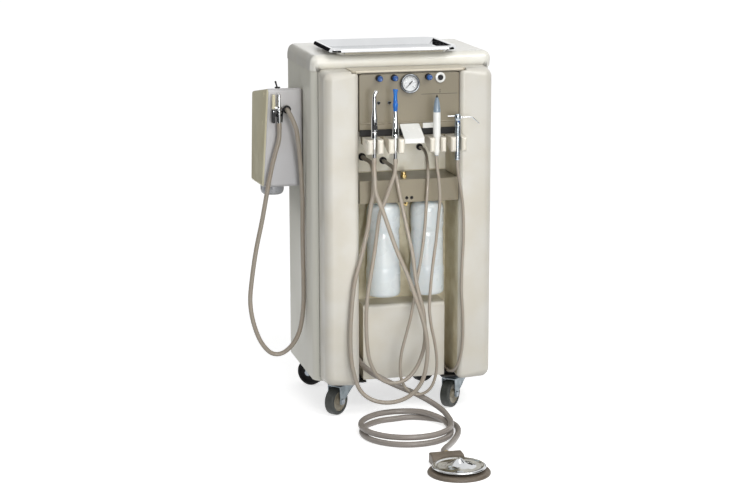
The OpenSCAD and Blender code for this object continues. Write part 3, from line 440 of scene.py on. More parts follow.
def lathe(name, prof, at, axis="z", mat="shell", segs=48, soft=0.6, angle=35, flute=None, frame_axes=None):
    """Turns a profile of (radius, height) about an axis. 'y' points out of the front."""
    prof = rounded(prof, soft, closed=False, n=3) if soft else prof
    e1, e2, e3 = frame_axes or AXES[axis]
    c = Vector(at)
    bm = bmesh.new()
    rings = []
    for r, h in prof:
        if r < 1e-4:
            rings.append([bm.verts.new(c + e3 * h)])
            continue
        ring = []
        for k in range(segs):
            a = 2 * pi * k / segs
            rr = r
            if flute and flute[0] <= h <= flute[1] and r > flute[2]:
                rr = r - flute[3] * (0.5 + 0.5 * cos(a * flute[4]))
            ring.append(bm.verts.new(c + e1 * (rr * cos(a)) + e2 * (rr * sin(a)) + e3 * h))
        rings.append(ring)
    for a, b in zip(rings, rings[1:]):
        if len(a) == 1 and len(b) == 1:
            continue
        for k in range(segs):
            k2 = (k + 1) % segs
            if len(a) == 1:
                bm.faces.new((a[0], b[k], b[k2]))
            elif len(b) == 1:
                bm.faces.new((a[k], a[k2], b[0]))
            else:
                bm.faces.new((a[k], a[k2], b[k2], b[k]))
    for ring in (rings[0], rings[-1]):
        if len(ring) > 1 and rings[0] is not rings[-1]:
            bm.faces.new(ring)
    return finish_mesh(name, bm, mat, angle)


def ring_lathe(name, prof, at, axis="z", mat="shell", segs=64, soft=0.4, angle=35):
    """Turns a closed profile that doesn't touch the axis."""
    prof = rounded(prof, soft, closed=True, n=3) if soft else prof
    e1, e2, e3 = AXES[axis]
    c = Vector(at)
    bm = bmesh.new()
    rings = [[bm.verts.new(c + e1 * (r * cos(2 * pi * k / segs)) + e2 * (r * sin(2 * pi * k / segs)) + e3 * h)
              for k in range(segs)] for r, h in prof]
    m = len(rings)
    for i in range(m):
        a, b = rings[i], rings[(i + 1) % m]
        for k in range(segs):
            k2 = (k + 1) % segs
            bm.faces.new((a[k], a[k2], b[k2], b[k]))
    return finish_mesh(name, bm, mat, angle)


def box(name, lo, hi, bevel=1.0, mat="shell", segs=3, angle=40):
    bm = bmesh.new()
    bmesh.ops.create_cube(bm, size=1)
    for v in bm.verts:
        v.co = Vector([(lo[i] + hi[i]) / 2 + v.co[i] * (hi[i] - lo[i]) for i in range(3)])
    if bevel:
        bmesh.ops.bevel(bm, geom=list(bm.edges), offset=bevel, segments=segs, profile=0.5, affect="EDGES",
                        clamp_overlap=True)
    return finish_mesh(name, bm, mat, angle, weighted=True)


def prism(name, pts, axis, lo, hi, bevel=0.8, mat="shell", segs=3, angle=35, round_r=0):
    """Extrudes a 2D outline along an axis from lo to hi. x: (y, z) outline, y: (x, z) outline, z: (x, y) outline."""
    if round_r:
        pts = rounded(pts, round_r, n=5)
    bm = bmesh.new()

    def at(p, h):
        return {"x": (h, p[0], p[1]), "y": (p[0], h, p[1]), "z": (p[0], p[1], h)}[axis]
    a = [bm.verts.new(at(p, lo)) for p in pts]
    b = [bm.verts.new(at(p, hi)) for p in pts]
    n = len(pts)
    for k in range(n):
        bm.faces.new((a[k], a[(k + 1) % n], b[(k + 1) % n], b[k]))
    fa, fb = bm.faces.new(list(reversed(a))), bm.faces.new(b)
    bmesh.ops.recalc_face_normals(bm, faces=bm.faces)
    if bevel:
        edges = list({e for f in (fa, fb) for e in f.edges})
        bmesh.ops.bevel(bm, geom=edges, offset=bevel, segments=segs, profile=0.5, affect="EDGES", clamp_overlap=True)
    return finish_mesh(name, bm, mat, angle, weighted=True)


def hull(name, points, mat="shell", angle=30, bm_only=False):
    bm = bmesh.new()
    for p in points:
        bm.verts.new(p)
    r = bmesh.ops.convex_hull(bm, input=bm.verts)
    spare = {g for g in r["geom_interior"] + r["geom_unused"] if isinstance(g, bmesh.types.BMVert)}
    spare |= {v for v in bm.verts if not v.link_faces}
    bmesh.ops.delete(bm, geom=list(spare), context="VERTS")
    bmesh.ops.dissolve_limit(bm, angle_limit=radians(0.4), verts=bm.verts, edges=bm.edges)
    if bm_only:
        return bm
    return finish_mesh(name, bm, mat, angle, weighted=True)


def ball(c, r, n=24, flat=None):
    """Points of a sphere."""
    out = []
    for i in range(n // 2 + 1):
        th = pi * i / (n // 2)
        for k in range(n):
            a = 2 * pi * (k + 0.5) / n
            out.append((c[0] + r * sin(th) * cos(a), c[1] + r * sin(th) * sin(a), c[2] + r * cos(th)))
    return out


def disc_pts(c, r, axis, n=48):
    out = []
    for k in range(n):
        a = 2 * pi * k / n
        if axis == "y":
            out.append((c[0] + r * cos(a), c[1], c[2] + r * sin(a)))
        elif axis == "z":
            out.append((c[0] + r * cos(a), c[1] + r * sin(a), c[2]))
        else:
            out.append((c[0], c[1] + r * cos(a), c[2] + r * sin(a)))
    return out


def apply_modifiers(o):
    dg = bpy.context.evaluated_depsgraph_get()
    me = bpy.data.meshes.new_from_object(o.evaluated_get(dg))
    mats = [s.material for s in o.material_slots]
    index = [p.material_index for p in me.polygons]
    o.modifiers.clear()
    o.data = me
    me.materials.clear()
    for m in mats:
        me.materials.append(m)
    for p, i in zip(me.polygons, index):
        p.material_index = min(i, len(mats) - 1)
    return o


def boolean(o, cutters, op="DIFFERENCE", angle=30, bevel=0, segs=3):
    o.modifiers.clear()
    for c in cutters:
        m = o.modifiers.new("cut", "BOOLEAN")
        m.operation = op
        m.object = c
        m.solver = "EXACT"
    apply_modifiers(o)
    for c in cutters:
        bpy.data.objects.remove(c)
    if bevel:
        m = o.modifiers.new("round", "BEVEL")
        m.width = bevel * MM
        m.segments = segs
        m.limit_method = "ANGLE"
        m.angle_limit = radians(28)
        m.harden_normals = False
        apply_modifiers(o)
    o.data.polygons.foreach_set("use_smooth", [True] * len(o.data.polygons))
    o.data.set_sharp_from_angle(angle=radians(angle))
    w = o.modifiers.new("normals", "WEIGHTED_NORMAL")
    w.keep_sharp = True
    return o


def join(objs, name):
    """Joins meshes into the first one."""
    for o in objs:
        if o.modifiers:
            apply_modifiers(o)
    mats = []
    bm = bmesh.new()
    for o in objs:
        base = len(bm.faces)
        bm.from_mesh(o.data)
        bm.faces.ensure_lookup_table()
        idx = []
        for s in o.data.materials:
            if s not in mats:
                mats.append(s)
            idx.append(mats.index(s))
        for f in list(bm.faces)[base:]:
            f.material_index = idx[min(f.material_index, len(idx) - 1)] if idx else 0
    me = bpy.data.meshes.new(name)
    bm.to_mesh(me)
    bm.free()
    for s in mats:
        me.materials.append(s)
    me.polygons.foreach_set("use_smooth", [True] * len(me.polygons))
    me.set_sharp_from_angle(angle=radians(35))
    first = bpy.data.objects.new(name, me)
    COL.objects.link(first)
    for o in objs:
        bpy.data.objects.remove(o)
    return first


def sweep(name, pts, radius, mat="hose", segs=20, caps=True, angle=60, ribs=None):
    """Tube along points (mm). radius is a number, or a function of the length from the start in mm."""
    P = [Vector(p) for p in pts]
    n = len(P)
    T = [(P[min(i + 1, n - 1)] - P[max(i - 1, 0)]).normalized() for i in range(n)]
    ref = Vector((0, 1, 0)) if abs(T[0].y) < 0.9 else Vector((1, 0, 0))
    N = (ref - T[0] * ref.dot(T[0])).normalized()
    bm = bmesh.new()
    rings, s = [], 0.0
    for i in range(n):
        if i:
            s += (P[i] - P[i - 1]).length
            N = (N - T[i] * N.dot(T[i])).normalized()
        B = T[i].cross(N)
        r = radius(s) if callable(radius) else radius
        rings.append([bm.verts.new(P[i] + N * (r * cos(2 * pi * k / segs)) + B * (r * sin(2 * pi * k / segs)))
                      for k in range(segs)])
    for a, b in zip(rings, rings[1:]):
        for k in range(segs):
            k2 = (k + 1) % segs
            bm.faces.new((a[k], a[k2], b[k2], b[k]))
    if caps:
        bm.faces.new(list(reversed(rings[0])))
        bm.faces.new(rings[-1])
    return finish_mesh(name, bm, mat, angle)


# ---------------------------------------------------------------- hose routes (millimetres), the same as the CAD solids'
R_SUCTION = [(-105, -243, 693.8), (-105, -243, 677), (-104, -244.5, 652), (-102, -247, 616),
             (-82, -252, 560), (-51, -254, 470), (-19, -253, 395), (16, -251, 296),
             (33, -249, 225), (34, -248, 165), (20, -247, 108), (-13, -244, 71), (-60, -238, 56),
             (-108, -230, 64), (-141, -221, 94), (-158, -213, 155), (-162, -211, 224),
             (-159, -210, 292), (-150, -209, 374), (-132, -208, 441), (-115, -207, 510),
             (-106, -206.5, 570), (-100, -206.5, 602), (-98, -206, 634), (-97, -202, 654),
             (-96.5, -191, 670), (-96, -174, 679), (-96, -147, 681), (-96, -108, 680),
             (-96, -74.1, 680)]
R_EJECTOR = [(-50, -243, 688.8), (-50, -243, 675), (-53, -241, 657), (-60, -238, 636),
             (-73, -231, 593), (-88, -228, 553), (-98, -226, 476), (-108, -225, 410),
             (-119, -225, 342), (-123, -225, 276), (-120, -225, 206), (-112, -226, 163),
             (-92, -227, 125), (-60, -228, 106), (-24, -227, 109), (3, -226, 130), (23, -224, 165),
             (34, -223, 205), (35, -222, 250), (30, -222, 297), (18, -222, 342), (10, -221, 382),
             (2, -217, 450), (-9, -212, 502), (-20, -206, 560), (-29, -204.5, 604),
             (-33, -203, 626), (-36, -196, 646), (-37.5, -182, 660), (-38.5, -160, 667),
             (-39, -120, 668), (-39, -74.1, 668)]
R_SCALER = [(59, -243, 705.8), (59, -243, 692), (61, -243, 670), (65, -242, 645), (69, -240, 593),
            (66, -238, 543), (60, -237, 480), (52, -236, 417), (45, -235, 338), (44, -235, 295),
            (50, -234, 250), (59, -233, 208), (65, -232, 160), (62, -231, 118), (48, -229, 84),
            (22, -225, 69), (-7, -221, 77), (-24, -216, 103), (-29, -213, 135), (-25, -211, 180),
            (-12, -210, 230), (2, -209, 283), (17, -208, 372), (28, -207, 430), (37, -206, 500),
            (42, -205, 562), (46, -203, 612), (48, -199, 636), (52, -182, 665), (58, -145, 690),
            (60, -108, 700), (60, -74.1, 700)]
R_SYRINGE = [(114, -243, 690.8), (114, -243, 677), (118, -238, 655), (126, -228, 622),
             (139, -212, 558), (142, -208, 483), (139, -207, 406), (138, -207, 336),
             (142, -206, 276), (143, -206, 220), (140, -205, 175), (134, -198, 142),
             (127, -180, 117), (122, -150, 107), (122, -110, 105), (122, -74.1, 105)]
T1C, T2C = (-43, -331), (-45, -342)
R_FOOT = [(-121, -74.1, 149), (-121, -102, 149), (-121.5, -128, 146.5), (-117, -150, 139), (-103, -169, 127),
          (-82, -182, 113), (-50, -192, 96), (-18, -199, 81), (15, -208, 66), (43, -221, 51),
          (62, -241, 40), (73, -267, 32.5), (76, -300, 27.5)]
R_FOOT += [(T1C[0] + 117 * cos(radians(a)), T1C[1] + 117 * sin(radians(a)), 23.4) for a in range(-5, -306, -30)]
R_FOOT += [(T1C[0] + 116 * cos(radians(-335)), T1C[1] + 116 * sin(radians(-335)), 17.5),
           (T1C[0] + 116 * cos(radians(-350)), T1C[1] + 116 * sin(radians(-350)), 10.5),
           (T2C[0] + 115 * cos(radians(-365)), T2C[1] + 115 * sin(radians(-365)), 8)]
R_FOOT += [(T2C[0] + 115 * cos(radians(a)), T2C[1] + 115 * sin(radians(a)), 7.6) for a in range(-395, -606, -30)]
R_FOOT += [(-45, -226.5, 7.6), (-8, -221.5, 7.6), (28, -234, 7.6), (63, -261, 7.6), (87, -299, 7.6), (91, -340, 7.6),
           (80, -386, 7.6), (57, -436, 7.7), (32, -480, 9), (13, -512, 12), (-2, -543, 14), (-2, -567.9, 14)]
R_SIDE = [(-305, -12, 752.8), (-305, -12, 738), (-308, -13, 718), (-316, -14, 692),
          (-326, -15, 655), (-337, -15, 603), (-354, -15, 513), (-372, -15, 430), (-385, -15, 345),
          (-389, -15, 290), (-381, -15, 235), (-362, -15, 183), (-334, -15, 150), (-303, -15, 148),
          (-273, -16, 174), (-255, -18, 215), (-246.5, -19, 275), (-245.5, -20, 346),
          (-247, -20, 455), (-247, -22, 562), (-252, -28, 650), (-259, -38, 712), (-265, -44, 750), (-270, -45.5, 766),
          (-275, -44, 779), (-279, -39, 789.5), (-282, -30, 797.5), (-283, -19, 802), (-283, -7.2, 803.2)]


def curve_points(P, step):
    """Catmull-Rom through the route."""
    P = [Vector(p) for p in P]
    out = []
    for i in range(len(P) - 1):
        a = P[i - 1] if i else P[0] * 2 - P[1]
        b, c = P[i], P[i + 1]
        d = P[i + 2] if i + 2 < len(P) else P[i + 1] * 2 - P[i]
        n = max(2, round((c - b).length / step))
        for k in range(n):
            t = k / n
            out.append(0.5 * ((2 * b) + (c - a) * t + (2 * a - 5 * b + 4 * c - d) * t * t
                              + (3 * b - a - 3 * c + d) * t ** 3))
    out.append(P[-1])
    return out


def make_hose(name, route, r, node, body=None, mat="hose"):
    pts = curve_points(route, 7)
    o = sweep(name, pts, r, mat, segs=24, caps=True)
    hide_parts(node)
    if body:
        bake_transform(o)
    else:
        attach(o, "cabinet")
    # the loose end that is nearest the cabinet is where the hose leaves it
    return o, pts


make_hose("suction_hose", R_SUCTION, 5.5, "hose_suction", "suction_handpiece")
make_hose("ejector_hose", R_EJECTOR, 5, "hose_ejector", "ejector_handpiece")
make_hose("scaler_hose", R_SCALER, 4, "hose_scaler", "scaler_handpiece")
make_hose("syringe_hose", R_SYRINGE, 4, "hose_syringe", "syringe_handpiece")
make_hose("side_hose", R_SIDE, 6, "hose_side", "side_handpiece")
make_hose("foot_hose", R_FOOT, 7.5, "hose_foot", mat="foot_hose")


for i_, (x_, z_, hr_, fr_) in enumerate(((-96, 680, 5.6, 8.5), (-39, 668, 5.1, 8), (60, 700, 4.1, 7))):
    put(ring_lathe("hose_collar_%d" % i_, [(fr_ + 0.05, 0.1), (fr_ + 1.3, 0.1), (fr_ + 1.3, 9), (hr_ + 1.6, 12.6), (hr_, 12.6),
                                           (hr_, 10.8), (fr_ + 0.05, 10.8)], (x_, -63.5, z_), "y", "black", 48, 0.4), "cabinet")


# ---------------------------------------------------------------- plain CAD nodes with their finish
def paint(node, mat, slot=None):
    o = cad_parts[node]
    o.data.materials.clear()
    o.data.materials.append(M[mat])
    return o


for n_, m_ in (("base_pan", "plate"), ("side_left", "side"), ("side_right", "side"), ("rear_panel", "side"),
               ("recess_liner", "liner"), ("screws", "zinc"), ("power_inlet", "black"), ("air_tank", "tank"),
               ("compressor", "motor"), ("suction_motor", "motor_blue"), ("caster_plates", "plate"),
               ("hose_fittings", "brass")):
    paint(n_, m_)


# ---------------------------------------------------------------- shell pieces
def make_columns():
    ci, co, cf, ct, cl, back = 133, 223, -197, 920, 94, -117.1
    for s, side in ((-1, "left"), (1, "right")):
        pts = []
        for x in (ci + 14, co - 14):
            for z in (cl + 14, ct - 14):
                pts += disc_pts((s * x, back, z), 14, "y", 48) + disc_pts((s * x, back - 20, z), 14, "y", 48)
        for z in (cl + 14, ct - 14):
            pts += ball((s * (ci + 14), cf + 14, z), 14, 40)
        for z in (cl + 24, ct - 24):
            pts += ball((s * (co - 24), cf + 24, z), 24, 56)
        o = hull("column_skin_" + side, pts, "shell")
        cuts = []
        for lo, hi in (((ci - 5, cf - 1, 914.6), (ci + 19, cf + 99, 940)),
                       ((ci + 12, cf + 12, 914.6), (ci + 21, cf + 112, 940)),
                       ((ci - 5, -120.3, 913.8), (co + 5, -100, 940))):
            a, b = (s * lo[0], lo[1], lo[2]), (s * hi[0], hi[1], hi[2])
            cuts.append(box("cut", tuple(map(min, a, b)), tuple(map(max, a, b)), 0))
        boolean(o, cuts, angle=30, bevel=0)
        # the inner faces of the column take the liner paint, painted lighter to stand in for light inside the recess
        o.data.materials.append(M["liner"])
        li = len(o.data.materials) - 1
        for f in o.data.polygons:
            if f.normal.x * s < -0.985 and abs(abs(f.center.x) - ci * MM) < 0.0006:
                f.material_index = li
        put(o, "cabinet", ["column_" + side])


def make_lid():
    hw, r = 241, 28
    pts = []
    for x in (-1, 1):
        for front in (1, 0):
            rr = r if front else 12
            cx = x * (hw - r)
            cy = -120 + r if front else 203 - 12
            pts += disc_pts((cx if front else x * (hw - 12), cy, 914), rr, "z", 64)
            pts += disc_pts((cx if front else x * (hw - 12), cy, 928), rr, "z", 64)
            pts += ball((x * (hw - 20), (-120 + 20) if front else (203 - 20), 935), 20, 48)
    # the lid takes the lighter copy of the shell paint, which paints in the light on its front roll
    o = hull("lid", pts, "lid", angle=30)
    cut = box("cut", (-228, -105, 905), (228, 188, 946), 0)
    boolean(o, [cut])
    put(o, "cabinet", ["cap"])


def make_lower_panel():
    pts = [(-139.7, 94.3), (-139.7, 296), (-62.3, 296), (-62.3, 96.4), (-114.5, 96.4), (-114.5, 94.3)]
    out = [(-139.7, 94.3)] + [(-130 + -9.7 * cos(radians(a)), 286 + 9.9 * sin(radians(a))) for a in range(0, 91, 9)]
    out += [(-62.3, 295.9), (-62.3, 96.4), (-114.5, 96.4), (-114.5, 94.3)]
    o = prism("front_cover", out, "x", -111, 111, 2.2, "shell", segs=4)
    put(o, "cabinet", ["lower_panel"])


make_columns()
make_lid()
make_lower_panel()


# ---------------------------------------------------------------- tray
def make_tray():
    cx, cy, z0 = -26, -30, 955

    def ring(w, d, r, z, n=10):
        pts = []
        for sx, sy, a0 in ((1, 1, 0), (-1, 1, 90), (-1, -1, 180), (1, -1, 270)):
            for k in range(n + 1):
                a = radians(a0 + 90 * k / n)
                pts.append((cx + sx * (w / 2 - r) + r * cos(a), cy + sy * (d / 2 - r) + r * sin(a), z0 + z))
        return pts
    rows = [ring(276, 185, 14, 0.06), ring(286, 194, 18, 0.5), ring(292, 199, 20, 2.2), ring(310, 214, 25, 11),
            ring(318, 222, 27, 15.2), ring(326, 230, 30, 17), ring(332, 236, 32.5, 15.6), ring(336, 240, 34, 12.6),
            ring(337.6, 242, 34.6, 9.2), ring(338.6, 243.2, 35, 8.7), ring(340, 245, 35.5, 9.4), ring(338.6, 243.6, 35, 14),
            ring(334.6, 239.6, 33.5, 17.2), ring(329, 234, 31.5, 18.8), ring(322, 227, 29, 18.9), ring(314.5, 219.5, 26.5, 16.6),
            ring(293, 199, 20, 4.4), ring(288, 194, 18, 2.6), ring(282, 188, 16, 1.65), ring(274, 180, 13, 1.5)]
    bm = bmesh.new()
    vs = [[bm.verts.new(p) for p in row] for row in rows]
    n = len(vs[0])
    for a, b in zip(vs, vs[1:]):
        for k in range(n):
            bm.faces.new((a[k], a[(k + 1) % n], b[(k + 1) % n], b[k]))
    bm.faces.new(list(reversed(vs[0])))
    bm.faces.new(vs[-1])
    o = finish_mesh("instrument_tray", bm, "tray", 50, weighted=True)
    put(o, "tray", ["tray"])


make_tray()


# ---------------------------------------------------------------- console
PY = -192


def make_console():
    body = [box("p", (-132, PY, 764), (132, -62.2, 911), 1.6, "panel"),
            box("p", (-132, PY - 2.5, 770), (132, PY + 2, 783), 1.2, "panel")]
    for z in (768, 785):
        pts = [(PY + 0.5 + 3 * cos(radians(a)), z + 3 * sin(radians(a))) for a in range(0, 360, 15)]
        body.append(prism("p", pts, "x", -131.8, 131.8, 0.6, "panel"))
    o = join(body, "console_panel")
    put(o, "cabinet", ["control_panel"])
    # cover strip over the top edge
    prof = [(PY + 3, 913.2), (PY + 3, 915), (PY, 915)]
    prof += [(PY - 3.5 * cos(radians(a)), 918.5 + 3.5 * sin(radians(a))) for a in range(-80, 91, 10)]
    prof += [(PY + 12, 921.6), (PY + 12, 913.2)]
    a = prism("p", prof, "x", -141, 141, 0.8, "cover")
    prof2 = [(-151, -182.1), (-141.1, PY), (141.1, PY), (151, -182.1), (151, -121.5), (-151, -121.5)]
    b = prism("p", prof2, "z", 915, 922, 1.6, "cover", round_r=3)
    c = box("p", (-126, PY + 3, 910.6), (126, -121.5, 915.5), 0.4, "panel")
    o = join([a, b, c], "console_cover")
    put(o, "cabinet")
    # bar behind the holders, with its two arms
    bar = box("p", (-127, -200, 733), (127, -186, 753), 1.0, "panel")
    arms = [box("p", (x, -187, 735), (x + 12, -62.2, 751), 0.6, "panel") for x in (-90, 78)]
    put(join([bar] + arms, "holder_bar"), "cabinet")
    # fine printed rule with two dots, and a blank plate on the lip
    put(box("panel_rule", (31, PY - 0.12, 856.4), (127, PY + 0.3, 857.3), 0.05, "ink", 1), "cabinet")
    for i, (x, z) in enumerate(((81, 866.5), (81, 861))):
        put(lathe("panel_dot_%d" % i, [(0, 0.2), (1.4, 0.2), (1.4, -0.5), (0, -0.5)], (x, PY, z), "y", "ink", 20, 0.1),
            "cabinet")
    put(box("blank_plate", (35, PY - 4.2, 766), (64, PY - 1.5, 783), 0.9, "white"), "cabinet")
    # dark seals in the joints of the shell
    for s_, side_ in ((-1, "left"), (1, "right")):
        xs = sorted((s_ * 223.4, s_ * 222.6))
        put(join([box("p", (xs[0], -119.2, 104), (xs[1], -116.6, 910), 0.15, "seam", 1),
                  box("p", (xs[0], -116.4, 911.4), (xs[1], 205, 914.2), 0.15, "seam", 1)], "shell_seal_" + side_), "cabinet")
    # dark strip in the gap between the console and the holder bar: painted shade standing in for the shadow under the
    # console
    put(box("console_shade_strip", (-131.5, -197, 753.3), (131.5, -192.5, 769.8), 0.6, "dark"), "cabinet")
    # light back plate over the upper recess, painted light: a lighter copy of the recess wall where light reaches it
    put(box("recess_lit_back_plate", (-132.5, -63.4, 640), (132.5, -62.1, 762), 0.3, "lit_backplate"), "cabinet")
    # bottle shelf: a folded steel box with its face plate
    sh = [box("p", (-132, PY, 577), (132, -62.2, 637), 1.4, "panel")]
    o = join(sh, "bottle_shelf_body")
    cuts = [lathe("cut", [(0, 20), (14.8, 20), (14.8, -9), (0, -9)], (x, -150, 577), "z", "dark", 48, 0) for x in (-59, 59)]
    for c in cuts:
        for v in c.data.vertices:
            v.co.z = 0.577 + (v.co.z - 0.577) * (0.4 if v.co.z > 0.577 else 1)
    cuts += [lathe("cut", [(0, 3), (3.05, 3), (3.05, -11), (0, -11)], (x, PY, 588.7), "y", "dark", 32, 0)
             for x in (-6.5, 6.5)]
    boolean(o, cuts)
    put(o, "cabinet", ["bottle_shelf"])
    for i, x in enumerate((-6.5, 6.5)):
        put(ring_lathe("port_rim_%d" % i, [(3.06, 0.8), (4.2, 0.8), (4.2, -1.5), (3.06, -1.5)], (x, PY, 588.7), "y",
                       "black", 40, 0.25), "cabinet")
        # dark disc inside the port: painted shade standing in for the dark inside of the hole
        put(lathe("port_shade_disc_%d" % i, [(0, -8), (3.0, -8), (3.0, -10.6), (0, -10.6)], (x, PY, 588.7), "y", "dark", 24, 0.1),
            "cabinet")


make_console()


def make_controls():
    for i, (x, body) in enumerate(((-81, "knob_left"), (-41, "knob_centre"), (49, "knob_right"))):
        o = lathe(body + "_cap", [(0, -8), (3.0, -8), (3.0, 6.5), (5.8, 6.6), (6.7, 7.4), (7.3, 9), (7.3, 18.5), (6.6, 20.4),
                                  (5.2, 21), (4.6, 20.3), (1.4, 20.1), (0, 20.3)],
                  (x, PY, 901.5), "y", "blue", 96, 0.5, flute=(7.2, 19.5, 6.2, 0.55, 18))
        # black skirt behind the knob: a real dark collar, widened to also stand in for the knob's shadow on the panel
        collar_and_shade_skirt = lathe(body + "_skirt", [(5.9, 6.7), (7.9, 6.9), (8.3, 7.6), (8.3, 10.6), (7.8, 11.6), (6.4, 11.8)],
                      (x, PY, 901.5), "y", "black", 64, 0.4)
        put(join([o, collar_and_shade_skirt], body + "_cap"), body, [body])
        o = lathe("knob_collar_%d" % i, [(3.1, 0), (8.6, 0), (8.6, 3.2), (7.6, 5.6), (6.2, 6), (3.1, 6), (3.1, 0)],
                  (x, PY, 901.5), "y", "black", 48, 0.5)
        put(o, "cabinet", ["panel_bushings"] if i == 0 else ())
    # push button in its ring
    put(ring_lathe("push_ring", [(6.6, 0), (13.6, 0), (13.6, 3.5), (12.4, 5.4), (9.4, 6), (7.4, 5.6), (6.6, 4.6)],
                   (81, PY, 899), "y", "white", 64, 0.5), "cabinet")
    put(lathe("push_cap", [(0, -8), (6.5, -8), (6.5, 8.2), (5.6, 9.4), (3, 9.1), (0, 8.7)], (81, PY, 899), "y", "black", 48, 0.5),
        "push_button", ["push_button"])
    # gauge
    put(ring_lathe("gauge_bezel", [(21, 0.1), (25.3, 0.1), (25.5, 3), (25.5, 8.5), (24.8, 11.2), (23.4, 12), (21.8, 11.8),
                                   (20.2, 10.6), (19.2, 8), (19, 5.3), (21, 4.8)], (0, PY, 886), "y", "bezel", 96, 0.6), "cabinet",
        ["gauge_case"])
    put(lathe("gauge_back", [(0, -40), (6, -40), (6, -25), (20.9, -25), (21, -1), (21, 4.6), (0, 4.6)], (0, PY, 886), "y", "black",
              64, 0.5), "cabinet")
    put(lathe("gauge_dial", [(0, 4.4), (22.1, 4.4), (22.1, 5.2), (0, 5.2)], (0, PY, 886), "y", "dial", 72, 0.1), "cabinet")
    marks = []
    for k in range(41):
        a = radians(225 - 270 * k / 40)
        major = k % 4 == 0
        r0, r1, w = (14.2 if major else 15.8), 17.8, (0.5 if major else 0.24)
        u, v = Vector((cos(a), 0, sin(a))), Vector((-sin(a), 0, cos(a)))
        c = Vector((0, PY - 5.25, 886))
        bm = bmesh.new()
        q = [c + u * r0 - v * w, c + u * r1 - v * w, c + u * r1 + v * w, c + u * r0 + v * w]
        f = [bm.verts.new(p) for p in q]
        g = [bm.verts.new(p + Vector((0, -0.12, 0))) for p in q]
        bm.faces.new(f)
        bm.faces.new(list(reversed(g)))
        for j in range(4):
            bm.faces.new((f[j], g[j], g[(j + 1) % 4], f[(j + 1) % 4]))
        marks.append(finish_mesh("mark", bm, "ink", 0))
    put(join(marks, "gauge_scale"), "cabinet")
    for k, s in enumerate(("0", "2", "4", "6", "8", "10")):
        a = radians(225 - 270 * k / 5)
        t = bpy.data.curves.new("num", "FONT")
        t.body = s
        t.size = 4.2 * MM
        t.align_x, t.align_y = "CENTER", "CENTER"
        t.extrude = 0.00006
        t.resolution_u = 3
        to = bpy.data.objects.new("num", t)
        COL.objects.link(to)
        to.matrix_world = Matrix.Translation(Vector((11.0 * cos(a), PY - 5.32, 886 + 11.0 * sin(a))) * MM) @ Matrix.Rotation(radians(90), 4, "X")
        bpy.context.view_layer.update()
        dg = bpy.context.evaluated_depsgraph_get()
        me = bpy.data.meshes.new_from_object(to.evaluated_get(dg))
        me.transform(to.matrix_world)
        me.materials.clear()
        me.materials.append(M["ink"])
        o = bpy.data.objects.new("gauge_number_%s" % s, me)
        COL.objects.link(o)
        bpy.data.objects.remove(to)
        put(o, "cabinet")
    # needle, hub
    d = radians(-138)
    u, v = Vector((cos(radians(48)), 0, sin(radians(48)))), Vector((-sin(radians(48)), 0, cos(radians(48))))
    c = Vector((0, PY - 7.6, 886))
    bm = bmesh.new()
    outline = [(-16, 0.3), (-16, -0.3), (-2, -1.0), (2.6, -1.2), (8.6, -1.9), (9.2, 1.7), (2.6, 1.2), (-2, 1.0)]
    f = [bm.verts.new(c + u * a + v * b) for a, b in outline]
    g = [bm.verts.new(c + u * a + v * b + Vector((0, -0.5, 0))) for a, b in outline]
    bm.faces.new(f)
    bm.faces.new(list(reversed(g)))
    for j in range(len(f)):
        k = (j + 1) % len(f)
        bm.faces.new((f[j], g[j], g[k], f[k]))
    pointer = finish_mesh("pointer", bm, "ink", 30)
    hub = lathe("hub", [(0, 3), (1.5, 3), (1.5, 6.6), (2.5, 6.9), (2.5, 8.2), (1.8, 8.6), (0, 8.7)], (0, PY, 886), "y", "ink", 32, 0.2)
    put(join([pointer, hub], "gauge_pointer"), "gauge_needle", ["gauge_needle"])
    put(lathe("gauge_lens", [(0, 9.2), (19.4, 9.2), (19.4, 9.8), (16, 10.6), (9, 11.1), (0, 11.3)], (0, PY, 886), "y", "lens", 72, 0.1),
        "cabinet")
    # toggles
    for x, body in ((-82, "toggle_left"), (-53.5, "toggle_right")):
        c = Vector((x, PY - 2.6, 838))
        ang = radians(78)
        e3 = Vector((0, -sin(ang), cos(ang)))
        e1 = Vector((1, 0, 0))
        e2 = e3.cross(e1)
        o = lathe(body + "_lever", [(0, -2.4), (1.7, -1.7), (2.4, 0), (1.7, 1.7), (1.3, 2.4), (2.0, 10.5), (2.1, 12.4), (1.5, 13.4),
                                    (0, 13.6)], c, mat="black", segs=32, soft=0.3, frame_axes=(e1, e2, e3))
        put(o, body, [body])
        n = ring_lathe(body + "_bush", [(2.75, 0.2), (4.2, 0.2), (4.2, 1.4), (3.5, 1.6), (3.5, 4.4), (3.1, 5), (2.75, 5)], (x, PY, 838), "y",
                       "black", 40, 0.2)
        hexa = [(x + 4.4 * cos(radians(a)), 838 + 4.4 * sin(radians(a))) for a in range(0, 360, 60)]
        h = prism("hex", hexa, "y", PY - 2.2, PY - 0.1, 0.25, "satin")
        boolean(h, [lathe("cut", [(0, 4), (2.8, 4), (2.8, -2), (0, -2)], (x, PY, 838), "y", "dark", 32, 0)])
        put(n, "cabinet")
        h.name = body + "_nut"
        put(h, "cabinet")


make_controls()


